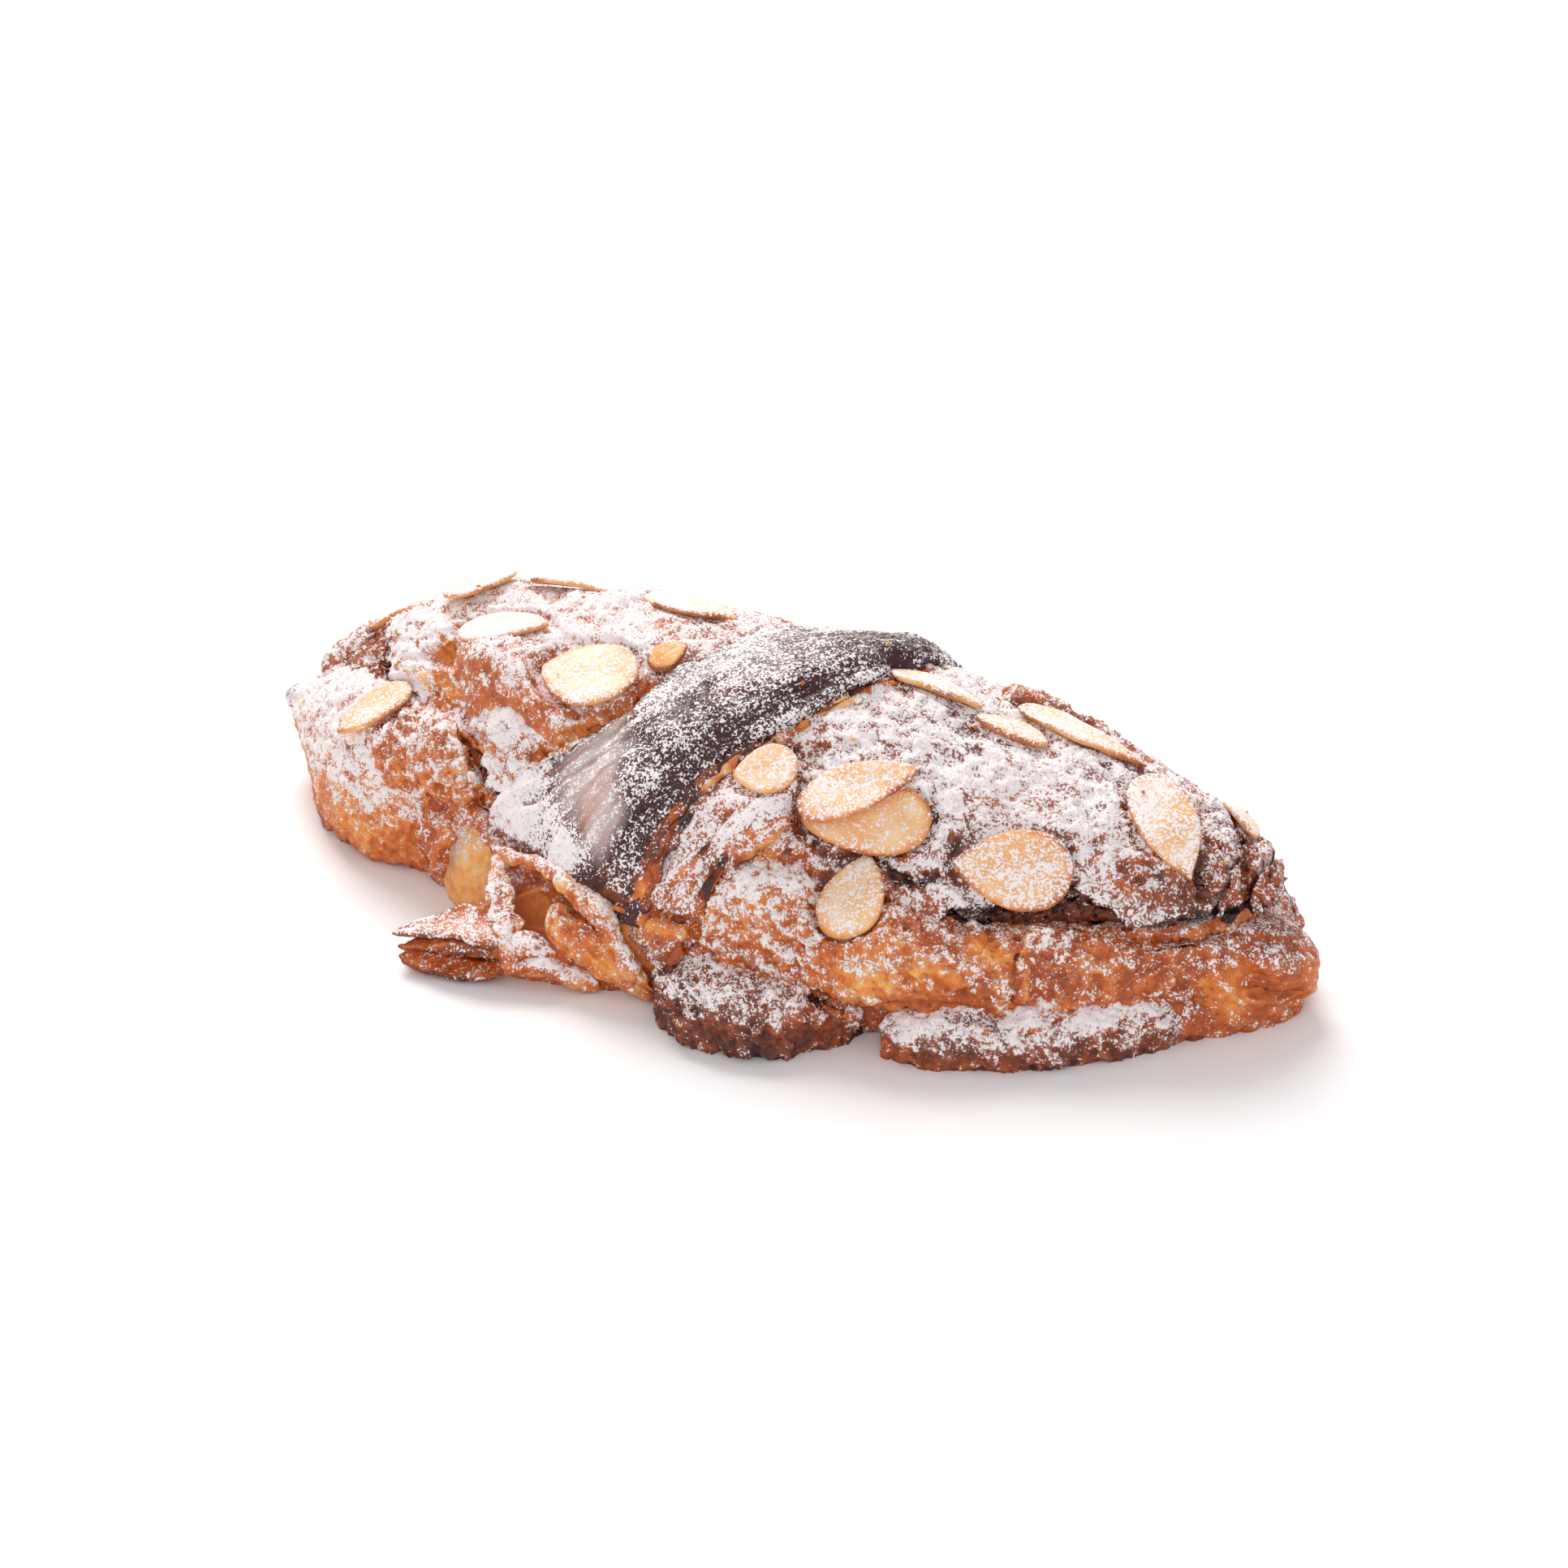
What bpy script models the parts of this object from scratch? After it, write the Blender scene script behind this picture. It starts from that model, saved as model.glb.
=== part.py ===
"""Almond croissant: a flat, twice-baked croissant, sliced open, filled and reheated.

The object is a lower half, a layer of almond cream that has run out over the sides and set on the tray,
an upper half with the wide middle wrap of the dough, and flaked almonds stuck to the crust.

Frame: +X runs along the croissant, -Y is the side where most of the cream ran out, +Z is up, and the
origin is on the tray under the middle of the croissant's box.
Lengths are millimetres until the finished meshes are scaled to metres.
"""

import math

import bmesh
import bpy
import numpy as np
from mathutils import Matrix, Vector, noise
from mathutils.bvhtree import BVHTree

MM = 0.001

# Driving sizes, in millimetres
KNIFE_Z = 15.0  # height of the knife cut that parts the two halves
CREAM_THICKNESS = 1.9  # of the cream between the halves
GAP = 0.5  # clearance between pieces that touch
BUMP_SIZE = 7.0  # of the crust's uneven surface, from one bump to the next
BUMP_SEED = 2  # gives the same bumps at every run
WRAP_LIFT = 0.6  # how far the right edge of a wrapped strip stands off the crust
TRAY_BITE = 1.2  # how far the rolls reach below the tray before they are cut flat
ALMOND_THICKNESS = 1.1
ALMOND_BEND = 0.4  # how far its ends lie below its middle
ALMOND_SINK = 0.35  # how deep a slice sits in the crust
TABLE_CENTRE = (-3.36, -3.27)  # middle of the croissant's box in the tables below, which becomes the origin

# The shape of a roll and the grip of a slice, as plain ratios
BLUNT_ENDS = 9  # power by which a roll closes at its two ends: the higher, the blunter
FLAT_UNDERSIDE = 4  # the superellipse's power below the rim
WIDEST_SHARE = 0.6  # the widest level is no higher than this share of a roll's height
FINE_BUMPS = 2.3  # how many times finer the second layer of bumps is
CREASE_SIDE = 1.7  # power that moves a strip's crease from its middle towards its right edge
CONTACT = 0.32  # a slice touches the crust this share of its length and width from its middle

# A roll is a body lofted along X. Each station is x, near side, far side, top height.
WHOLE_BODY = [
    (-87, 4, 9, 13), (-84, -4, 14, 18.5), (-78, -10, 19, 24.5), (-70, -16, 24, 30),
    (-63, -20, 27.5, 34), (-55, -22.5, 30, 36.5), (-40, -27, 34, 38.5), (-25, -32, 36.5, 40),
    (-10, -35, 38, 40.5), (5, -36.5, 38, 40.5), (20, -34.5, 37.5, 39), (30, -32.5, 36.5, 37),
    (40, -30, 34.5, 35), (50, -27, 32, 32.8), (58, -22.5, 28.5, 31.2), (66, -17.5, 24.5, 29.5),
    (73, -11, 20, 26), (78, -6, 16, 22.5), (81.5, -1, 11, 18), (83.5, 3, 7, 13),
]
LEFT_TIP = [(-87, 3, 8, 17), (-84, -1, 10, 20.5), (-80, 0, 11, 23.5), (-75, 3, 9, 26.5)]
DOUGH_HUMP = [
    (-51, -13, -6, 35), (-44, -17, -5, 37.3), (-36, -19.5, -7, 37.3), (-28, -22, -11, 35),
    (-24, -21, -15, 33),
]
CREST_CRAG = [(28, 8, 12, 33), (34, 7, 15, 37), (44, 7, 15, 34.3), (53, 6, 13, 31), (58, 7, 11, 28)]
RIGHT_HORN = [
    (60, -16, 4, 13), (68, -12.5, 8, 14.5), (75, -9, 10, 15), (80, -4.5, 9, 13.8), (83, 0, 8.5, 11),
    (84.5, 3, 6, 8),
]
DOUGH_TAIL = [
    (5, -36, -28, 8), (-2, -39, -26, 12.5), (-11, -42, -24, 13), (-19, -45, -24, 12),
    (-27, -48, -26, 10), (-33, -49.5, -34, 7.5), (-37, -49.5, -43, 5), (-39, -49, -46, 3.5),
]
DOUGH_BARREL = [
    (-48, -26, -18, 8), (-45, -29, -18, 13), (-40, -31, -18, 15), (-35, -31, -18, 14),
    (-31, -29, -20, 9),
]
FILLING = [
    (-83, 0, 9, 20), (-78, -7, 18, 20), (-60, -18, 28, 20), (-25, -28, 37, 20), (0, -31, 39, 20),
    (25, -30.5, 36, 20), (50, -24, 30, 20), (66, -15, 21, 20), (75, -6, 13, 20), (79, 2, 8, 20),
]
LEFT_LOBE = [
    (-91, 1, 5, 8), (-89, -5, 9, 14), (-81, -12.5, 13, 19), (-72, -20, 11, 23), (-63, -25, 6, 25.5),
    (-56, -25.5, 0, 25.5), (-50, -24, -8, 23), (-47, -21, -14, 17),
]
LEFT_SHOULDER = [
    (-64, -21, -9, 22), (-57, -25, -9, 25.5), (-49, -25.5, -12, 25.5), (-43, -25, -16, 24),
    (-38.5, -24, -19, 20),
]
CENTRE_FOOT = [
    (-1, -38, -34, 5), (2, -43, -28, 8.5), (8, -47, -25, 10), (15, -48, -25, 10.5),
    (21, -46.5, -25, 10), (26, -41.5, -26, 8.5), (29, -37, -29, 5), (30.5, -35, -31, 3),
]
CENTRE_DRAPE = [
    (0, -37, -33, 10), (3, -38.5, -26, 17), (9, -39.5, -24, 22), (16, -39, -24, 23), (23, -38, -24, 21),
    (29, -36, -25, 17), (31, -34, -28, 12),
]
RIGHT_FOOT = [
    (34, -34.5, -31, 3), (36.5, -36.5, -27, 7), (44, -36.5, -23, 8.5), (53, -32, -18, 8.5),
    (62, -25, -12, 8.5), (69, -17, -7, 7.5), (73, -11, -5, 5), (75, -8.5, -6, 3),
]
LEDGE = [
    (18, -35, -25, 15), (24, -37.5, -23, 19.5), (34, -36.8, -21, 20.5), (42, -33.5, -19, 18.5),
    (50, -29, -16, 18), (58, -24, -12, 17.5), (66, -17.5, -8, 16.5), (70, -13, -8, 14),
]
FAR_LEFT_LOBE = [
    (-57, 25, 29, 10), (-51, 24, 36, 14), (-40, 24, 41, 16.5), (-27, 25, 43, 16.5), (-17, 27, 42, 14),
    (-13, 31, 36, 9),
]
FAR_RIGHT_LOBE = [
    (24, 31, 35, 9), (29, 25, 40, 14), (38, 23, 42, 16), (50, 19, 37, 16), (59, 15, 30, 13),
    (63, 17, 23, 9),
]

# A strip is a sheet between two edges. Each row is a point of its left edge and one of its right edge.
MIDDLE_WRAP = [
    ((-35.5, -28, 14), (-5, -37.5, 14.5)), ((-33.5, -27, 20.5), (-3.5, -36, 19.5)),
    ((-26, -24.5, 27.5), (-2.5, -33.5, 24.5)), ((-21, -22, 31.5), (-0.5, -30, 28.5)),
    ((-16, -17.5, 36), (2, -25.5, 32.5)), ((-12, -12, 39.5), (6.5, -20, 36)),
    ((-7, -5.5, 41.5), (12.5, -11, 39.5)), ((-4, 3, 41.7), (17, -1, 41)),
    ((-1, 11, 39.5), (19, 8, 39.5)), ((1, 19, 35), (18.5, 17, 35)), ((2, 27, 27.5), (18.5, 25.5, 27.5)),
    ((3, 33.5, 18), (18.5, 32, 18)), ((3, 37, 11), (18.5, 35.5, 11)),
]
INNER_WRAP = [
    ((-9, -35.5, 9), (1, -38.5, 9)), ((-6, -34.5, 16), (2.5, -36.5, 15.5)),
    ((-2, -31.5, 23), (5, -34, 21)), ((2, -27.5, 30), (8, -30.5, 26.5)),
    ((6, -22.5, 34.5), (12, -26.5, 31)), ((9, -19, 36.5), (15, -23, 33.5)),
]
CREAM_FLAP = [
    ((51.5, -28, 7), (65, -20.5, 7)), ((51.5, -26.5, 13), (65, -19, 12)),
    ((53, -23.5, 20), (63, -17.5, 17.5)),
]

# A ball that is cut out: its centre and its three radii.
TAIL_HOLLOW = ((-20, -38.5, 13), (7.5, 5.5, 5.5))
TAIL_MOUTH = ((-35, -51, 4.2), (9, 3.5, 1.5))
HORN_SCOOP = ((79, -11.5, 8), (8, 4.5, 5.5))

# Almond slices: x, y, heading of the pointed tip in degrees, length, width, then the lift off the crust and
# the lean in degrees, which raises the left side as seen from the blunt end.
ALMONDS = [
    (-62, -18, 217, 14, 9), (-72.5, 4.5, 15, 12.5, 7, 0.2, -8), (-61, 10, 30, 9, 6, 0.2, -8),
    (-55.5, 3, 60, 13, 9, 0.9), (-42, 8.5, 0, 16, 9, 0.2, -8), (-45.5, -6.5, 10, 16, 10.5),
    (-26, -13.5, 175, 17.5, 15), (-14.5, -8.8, 60, 7, 5.5, 0.6, 10), (-20.5, 8, -10, 17, 11),
    (23, -19.5, 38, 19, 10, 2.5, -12), (25.3, -21.6, 200, 20, 12), (27.5, -29.3, 95, 14, 12),
    (47, -18, 200, 18, 14), (63.5, -3, -42, 19, 11, 0.6), (23.5, 3.5, 0, 15.5, 8.5, 0.2, -14),
    (37, 1, 188, 12, 6.5, 0.2, 8), (45, 7.5, -1, 21.5, 8, 0.9, -16), (10.2, -24, 200, 10, 9),
    (70.5, 8.5, -40, 9, 6.5), (-71, 15.5, 120, 12, 8), (-34, 23, 15, 19, 12), (-49, 22, 100, 15, 10),
    (36, 26, 170, 19, 12), (56, 19, 40, 15, 10), (-15, 25, 200, 18, 12),
]

# Colours of the toasted almond, the browned crust, the set almond cream and the paler dough
ALMOND = (0.75, 0.52, 0.28)
BROWN_CRUST = (0.33, 0.15, 0.07)
CREAM_CRUST = (0.42, 0.2, 0.08)
DOUGH = (0.55, 0.27, 0.08)


def along(rows, s):
    """The smooth curve through evenly spaced rows, at each s from 0 to 1 (Catmull-Rom)."""
    rows = np.asarray(rows, float)
    rows = rows.reshape(len(rows), -1)
    place = np.clip(s, 0, 1) * (len(rows) - 1)
    first = np.minimum(place.astype(int), len(rows) - 2)
    f = (place - first)[:, None]
    before, here, there, after = (rows[np.clip(first + k, 0, len(rows) - 1)] for k in (-1, 0, 1, 2))
    cubic = 3 * (here - there) + after - before
    square = 2 * before - 5 * here + 4 * there - after
    return here + 0.5 * f * (there - before + f * (square + f * cubic))


def signed_power(values, power):
    return np.sign(values) * np.abs(values) ** power


def crust_relief(points, depth, size):
    """Smooth noise for each point: bumps of this depth and size in millimetres, with finer ones on them."""
    coarse = np.array([noise.noise_vector(Vector(point / size)) for point in points])
    fine = np.array([noise.noise_vector(Vector(point * FINE_BUMPS / size)) for point in points])
    return depth * (coarse + 0.5 * fine)


def unit_points(shape):
    return np.array([vert.co for vert in shape.verts])


def object_of(shape, points, name):
    """The object made of a primitive whose vertices are moved to these points, in millimetres."""
    for vert, point in zip(shape.verts, points):
        vert.co = point
    shape.normal_update()
    bmesh.ops.recalc_face_normals(shape, faces=shape.faces)
    mesh = bpy.data.meshes.new(name)
    shape.to_mesh(mesh)
    shape.free()
    made = bpy.data.objects.new(name, mesh)
    bpy.context.scene.collection.objects.link(made)
    return made


def roll(stations, rim, bottom=-TRAY_BITE, bulge=(2.4, 2.0), segments=24, rings=15, relief=0.6, grow=0.0):
    """A sphere stretched over the stations, widest at the rim height, each section a superellipse.

    The bulge holds the superellipse's powers across and up above the rim, and then those of the far flank.
    """
    shape = bmesh.new()
    bmesh.ops.create_uvsphere(shape, u_segments=segments, v_segments=rings, radius=1)
    unit = unit_points(shape)
    s = np.arccos(np.clip(unit[:, 2], -1, 1)) / math.pi
    x, near, far, top = along(stations, s).T
    closing = np.sqrt(1 - np.abs(2 * s - 1) ** BLUNT_ENDS)
    angle = np.arctan2(unit[:, 1], unit[:, 0])
    above, far_flank = angle > 0, np.abs(angle) < math.pi / 2
    powers = [np.where(far_flank, bulge[k - 2], bulge[k]) for k in (0, 1)]
    wide, high = (np.where(above, power, FLAT_UNDERSIDE) for power in powers)
    across = signed_power(np.cos(angle), 2 / wide) * closing
    up = signed_power(np.sin(angle), 2 / high) * closing
    widest = np.minimum(rim, bottom + WIDEST_SHARE * (top - bottom))
    y = (near + far) / 2 + across * ((far - near) / 2 + grow)
    z = widest + up * (np.where(above, top - widest, widest - bottom) + grow)
    points = np.stack([x, y, z], 1)
    points += crust_relief(points, relief, BUMP_SIZE)
    points[:, 0] += grow * signed_power(2 * s - 1, 5)
    return object_of(shape, points, "roll")


def strip(rows, crown, thickness, columns=6, spans=16, relief=0.25, grow=0.0):
    """A sheet between two edges, arched by its crown and with its right edge lifted."""
    shape = bmesh.new()
    bmesh.ops.create_grid(shape, x_segments=columns, y_segments=spans, size=0.5)
    unit = unit_points(shape) + 0.5
    w, s = unit[:, 0], unit[:, 1]
    left, right = np.hsplit(along(rows, s), 2)
    step = 1 / spans
    heading = along(rows, s + step) - along(rows, s - step)
    heading = heading[:, :3] + heading[:, 3:]
    heading /= np.linalg.norm(heading, axis=1)[:, None]
    across = right - left
    outward = np.cross(across, heading)
    outward /= np.linalg.norm(outward, axis=1)[:, None]
    arch = crown * np.sin(math.pi * w**CREASE_SIDE) + WRAP_LIFT * w + grow
    points = left + across * w[:, None] + outward * arch[:, None]
    points += crust_relief(points, relief, BUMP_SIZE)
    aside = across / np.linalg.norm(across, axis=1)[:, None]
    points += grow * (heading * (2 * s - 1)[:, None] + aside * (2 * w - 1)[:, None])
    sheet = object_of(shape, points, "strip")
    shell = sheet.modifiers.new("Thickness", "SOLIDIFY")
    shell.thickness = thickness + 2 * grow
    shell.offset = -1
    return with_modifiers_applied(sheet)


def box(low, high):
    shape = bmesh.new()
    bmesh.ops.create_cube(shape, size=1)
    low, high = np.array(low), np.array(high)
    return object_of(shape, low + (unit_points(shape) + 0.5) * (high - low), "box")


def ball(centre, radii):
    shape = bmesh.new()
    bmesh.ops.create_icosphere(shape, subdivisions=2, radius=1)
    return object_of(shape, np.array(centre) + unit_points(shape) * np.array(radii), "ball")


def with_modifiers_applied(made):
    bpy.context.view_layer.update()
    evaluated = made.evaluated_get(bpy.context.evaluated_depsgraph_get())
    mesh = bpy.data.meshes.new_from_object(evaluated)
    made.modifiers.clear()
    made.data = mesh
    return made


def largest_shell(made):
    """Keeps the object's biggest closed surface, which fills sealed hollows and drops loose crumbs."""
    shape = bmesh.new()
    shape.from_mesh(made.data)
    unseen, shells = set(shape.faces), []
    while unseen:
        frontier = [unseen.pop()]
        shell = set(frontier)
        while frontier:
            near = {face for known in frontier for edge in known.edges for face in edge.link_faces} & unseen
            unseen -= near
            shell |= near
            frontier = list(near)
        shells.append(shell)
    biggest = max(shells, key=len)
    bmesh.ops.delete(shape, geom=[face for face in shape.faces if face not in biggest], context="FACES")
    shape.to_mesh(made.data)
    shape.free()
    return made


def combined(operation, target, others, solver="MANIFOLD"):
    """Unites the target with the others, or cuts it by them, and removes the others."""
    tools = bpy.data.collections.new("tools")
    bpy.context.scene.collection.children.link(tools)
    for other in others:
        tools.objects.link(other)
    change = target.modifiers.new("Combine", "BOOLEAN")
    change.operation = operation
    change.solver = solver
    change.operand_type = "COLLECTION"
    change.collection = tools
    with_modifiers_applied(target)
    for other in others:
        bpy.data.objects.remove(other)
    bpy.data.collections.remove(tools)
    return largest_shell(target)


def fused(pieces):
    return combined("UNION", pieces[0], pieces[1:])


def cut(target, cutters):
    return combined("DIFFERENCE", target, cutters)


def trimmed(made, low=-100, high=100):
    """Keeps what lies between two levels."""
    under = box((-120, -120, low - 100), (120, 120, low))
    over = box((-120, -120, high), (120, 120, high + 100))
    return cut(made, [under, over])


def whole_body(grow=0.0):
    return roll(WHOLE_BODY, 3.5, bulge=(2.3, 1.7, 2.0, 1.4), segments=32, rings=26, relief=0.9, grow=grow)


def upper_half(grow=0.0):
    """The top of the body above the cream, with the wide middle wrap and the narrow one inside it."""
    bottom = KNIFE_Z + CREAM_THICKNESS + 2 * GAP - grow
    crust = fused([
        whole_body(grow),
        roll(LEFT_TIP, rim=18, bottom=8, segments=14, rings=8, grow=grow),
        roll(DOUGH_HUMP, rim=30, bottom=22, segments=18, rings=10, relief=0.2, grow=grow),
        roll(CREST_CRAG, rim=32, bottom=26, segments=16, rings=12, relief=0.9, grow=grow),
    ])
    middle = strip(MIDDLE_WRAP, 2.2, 1.9, spans=20, grow=grow)
    inner = strip(INNER_WRAP, 0.8, 1.8, columns=3, spans=10, grow=grow)
    return fused([trimmed(crust, low=bottom), middle, inner])


def cream(grow=0.0):
    """The thin layer between the halves, and the lobes where it ran out and set."""
    layer = roll(FILLING, rim=KNIFE_Z + 1, bottom=KNIFE_Z - 4, bulge=(3, 3), relief=0.2)
    layer = trimmed(layer, KNIFE_Z + GAP - grow, KNIFE_Z + GAP + CREAM_THICKNESS + grow)
    lobes = [
        roll(LEFT_LOBE, rim=6, bulge=(2.6, 2.2), segments=22, rings=14, grow=grow),
        roll(LEFT_SHOULDER, rim=18, bottom=13, segments=20, rings=12, grow=grow),
        roll(CENTRE_FOOT, rim=4, segments=22, rings=12, grow=grow),
        roll(CENTRE_DRAPE, rim=6, bottom=2, bulge=(2.8, 2.2), segments=18, rings=10, grow=grow),
        roll(RIGHT_FOOT, rim=3.5, segments=20, rings=12, grow=grow),
        roll(LEDGE, rim=11, bottom=6.5, bulge=(2.3, 1.8), segments=20, rings=12, grow=grow),
        roll(FAR_LEFT_LOBE, rim=3.5, segments=18, rings=9, grow=grow),
        roll(FAR_RIGHT_LOBE, rim=3.5, segments=18, rings=9, grow=grow),
        strip(CREAM_FLAP, 0.3, 2.5, 4, 6, grow=grow),
    ]
    return fused([layer] + lobes)


def lower_half():
    """The bottom of the body, the right horn, and the tail of the dough that lies out on the tray."""
    half = trimmed(whole_body(), high=KNIFE_Z)
    horn = roll(RIGHT_HORN, rim=7, bulge=(2.6, 2.4), segments=22, rings=12)
    tail = roll(DOUGH_TAIL, rim=4, segments=22, rings=16, relief=0.9)
    barrel = roll(DOUGH_BARREL, rim=5, segments=20, rings=12)
    hollows = [ball(*shape) for shape in (TAIL_HOLLOW, TAIL_MOUTH, HORN_SCOOP)]
    return cut(fused([half, horn, tail, barrel]), hollows)


def almond_slice(length, width, grow=0.0):
    """A flat teardrop with its point at +X, bent down a little towards both ends."""
    shape = bmesh.new()
    bmesh.ops.create_cone(shape, cap_ends=True, cap_tris=True, segments=14, radius1=1, radius2=1, depth=1)
    unit = unit_points(shape)
    angle = np.arctan2(unit[:, 1], unit[:, 0]) % math.tau
    rim = np.hypot(unit[:, 0], unit[:, 1])
    x = rim * np.cos(angle) * (length / 2 + grow)
    y = rim * np.sin(angle) * 1.12 * np.sin(angle / 2) ** 0.6 * (width / 2 + 1.2 * grow)
    z = unit[:, 2] * (ALMOND_THICKNESS + 2 * grow) - ALMOND_BEND * (x / length * 2) ** 2
    return object_of(shape, np.stack([x, y, z], 1), "slice")


def surface_of(pieces):
    """One search tree over all the pieces."""
    verts, faces = [], []
    for piece in pieces:
        faces += [[len(verts) + i for i in face.vertices] for face in piece.data.polygons]
        verts += [vert.co for vert in piece.data.vertices]
    return BVHTree.FromPolygons(verts, faces)


def seat(crust, x, y, heading, length, width, lift=0.0, lean=0.0):
    """Where a slice lies: on the plane through four points of the crust under it, lifted and leaned."""
    ahead = Vector((math.cos(math.radians(heading)), math.sin(math.radians(heading)), 0))
    aside = Vector((-ahead.y, ahead.x, 0))

    def touch(along_it, across_it):
        above = Vector((x, y, 90)) + ahead * along_it * length + aside * across_it * width
        return crust.ray_cast(above, Vector((0, 0, -1)))[0]

    tip, tail, left, right = touch(CONTACT, 0), touch(-CONTACT, 0), touch(0, CONTACT), touch(0, -CONTACT)
    along_it = (tip - tail).normalized()
    normal = along_it.cross(left - right).normalized()
    across_it = normal.cross(along_it)
    middle = (tip + tail + left + right) / 4
    crown = max(0.0, (touch(0, 0) - middle).dot(normal))
    centre = middle + normal * (crown + ALMOND_THICKNESS / 2 - ALMOND_SINK + lift)
    turn = Matrix((along_it, across_it, normal)).transposed().to_4x4()
    return Matrix.Translation(centre) @ turn @ Matrix.Rotation(math.radians(lean), 4, "X")


def placed_slices(crust, grow=0.0):
    slices = []
    for x, y, heading, length, width, *pose in ALMONDS:
        made = almond_slice(length, width, grow)
        made.data.transform(seat(crust, x, y, heading, length, width, *pose))
        slices.append(made)
    return slices


def finish(made, name, colour, roughness, collection):
    """Names and colours the object, and takes it from the tables' millimetres to its place in metres."""
    made.name = made.data.name = name
    made.data.transform(Matrix.Scale(MM, 4) @ Matrix.Translation((-TABLE_CENTRE[0], -TABLE_CENTRE[1], 0)))
    made.data.shade_smooth()
    made.data.set_sharp_from_angle(angle=math.radians(50))
    made.data.materials.clear()
    material = bpy.data.materials.new(name)
    material.use_nodes = True
    surface = material.node_tree.nodes["Principled BSDF"]
    surface.inputs["Base Color"].default_value = (*colour, 1)
    surface.inputs["Roughness"].default_value = roughness
    made.data.materials.append(material)
    bpy.context.scene.collection.objects.unlink(made)
    collection.objects.link(made)


def main():
    for old in list(bpy.data.objects):
        bpy.data.objects.remove(old)
    noise.seed_set(BUMP_SEED)
    croissant = bpy.data.collections.new("almond_croissant")
    bpy.context.scene.collection.children.link(croissant)
    top = upper_half()
    filling = trimmed(cut(cream(), [upper_half(GAP)]), low=0)
    base = trimmed(cut(lower_half(), [upper_half(GAP), cream(GAP)]), low=0)
    crust = surface_of([top, filling])
    slices = placed_slices(crust)
    cut(top, placed_slices(crust, GAP))
    cut(filling, placed_slices(crust, GAP))
    finish(base, "croissant_base", DOUGH, 0.55, croissant)
    finish(filling, "almond_cream", CREAM_CRUST, 0.75, croissant)
    finish(top, "croissant_top", BROWN_CRUST, 0.6, croissant)
    for number, made in enumerate(slices, 1):
        finish(made, f"almond_slice_{number:02d}", ALMOND, 0.5, croissant)


main()
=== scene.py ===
"""Looks of the almond croissant: crust, set cream, dough, almond slices, icing sugar, crumbs and a stage.

Tables of the croissant's form are in millimetres in the baker's drawing, whose middle is TABLE_CENTRE. Every
mesh is written in metres round the model's origin.
"""

import functools
import itertools
import math

import bpy
import numpy as np
from bpy.props import FloatProperty, FloatVectorProperty, IntProperty, PointerProperty
from mathutils import Matrix, Vector


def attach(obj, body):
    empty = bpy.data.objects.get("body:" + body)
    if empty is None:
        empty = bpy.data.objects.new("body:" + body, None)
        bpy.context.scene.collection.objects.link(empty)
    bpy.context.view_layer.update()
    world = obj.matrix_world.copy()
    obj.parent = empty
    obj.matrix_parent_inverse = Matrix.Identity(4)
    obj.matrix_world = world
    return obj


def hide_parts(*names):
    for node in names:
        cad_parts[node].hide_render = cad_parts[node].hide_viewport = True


bl_info = {
    "name": "Almond Croissant",
    "version": (1, 0, 0),
    "blender": (4, 5, 0),
    "location": "View3D > Sidebar > Croissant",
    "description": "Builds the crust, cream, almonds and sugar of a twice-baked croissant",
    "category": "Add Mesh",
}

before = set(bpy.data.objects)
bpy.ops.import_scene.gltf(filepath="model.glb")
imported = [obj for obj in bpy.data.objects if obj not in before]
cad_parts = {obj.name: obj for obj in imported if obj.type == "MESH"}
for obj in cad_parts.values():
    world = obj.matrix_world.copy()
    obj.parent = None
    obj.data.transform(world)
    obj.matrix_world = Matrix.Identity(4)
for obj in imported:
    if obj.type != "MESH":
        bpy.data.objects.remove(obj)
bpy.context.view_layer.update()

MM = 0.001
TABLE_CENTRE = np.array([-3.36, -3.27, 0.0])

# Levels of the drawing, in mm
KNIFE_Z = 15.0
CREAM_TOP = 17.4
CRUST_FLOOR = 17.9
TRAY_BITE = 1.2  # how far below the tray a roll would reach if it weren't cut flat

# Powers and shares in the surfaces' formulas
BLUNT_ENDS = 9  # power by which a roll closes at its ends
FLAT_UNDERSIDE = 4  # power of a roll's section below its widest level
WIDEST_SHARE = 0.6  # how high a roll's widest level may lie
CREASE_SIDE = 1.7  # power that moves a strip's crown towards its right edge
WRAP_LIFT = 0.6  # mm by which a strip's right edge stands up
SPARSE_BELOW = 0.25  # how fine a roll's grid is underneath, where its near top has 1
SPARSE_BEHIND = 0.75  # and on its far side

# How many points measure a curve before it is cut into even steps
FINE_STATIONS = 600
FINE_SECTION = 1600
FINE_STRIP = 400
FINE_ROPE = 300

LATTICE_SHIFT = 512.0  # keeps the noise's lattice coordinates above zero
MARK_REACH = 2.5  # widths from a mark's line past which it is too weak to count

# The drawing. A roll's station is x, near side, far side and top height.
WHOLE_BODY = [
    (-87, 4, 9, 13), (-84, -4, 14, 18.5), (-78, -10, 19, 24.5), (-70, -16, 24, 30),
    (-63, -20, 27.5, 34), (-55, -22.5, 30, 36.5), (-40, -27, 34, 38.5), (-25, -32, 36.5, 40),
    (-10, -35, 38, 40.5), (5, -36.5, 38, 40.5), (20, -34.5, 37.5, 39), (30, -32.5, 36.5, 37),
    (40, -30, 34.5, 35), (50, -27, 32, 32.8), (58, -22.5, 28.5, 31.2), (66, -17.5, 24.5, 29.5),
    (73, -11, 20, 26), (78, -6, 16, 22.5), (81.5, -1, 11, 18), (83.5, 3, 7, 13),
]
LEFT_TIP = [(-87, 3, 8, 17), (-84, -1, 10, 20.5), (-80, 0, 11, 23.5), (-75, 3, 9, 26.5)]
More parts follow.
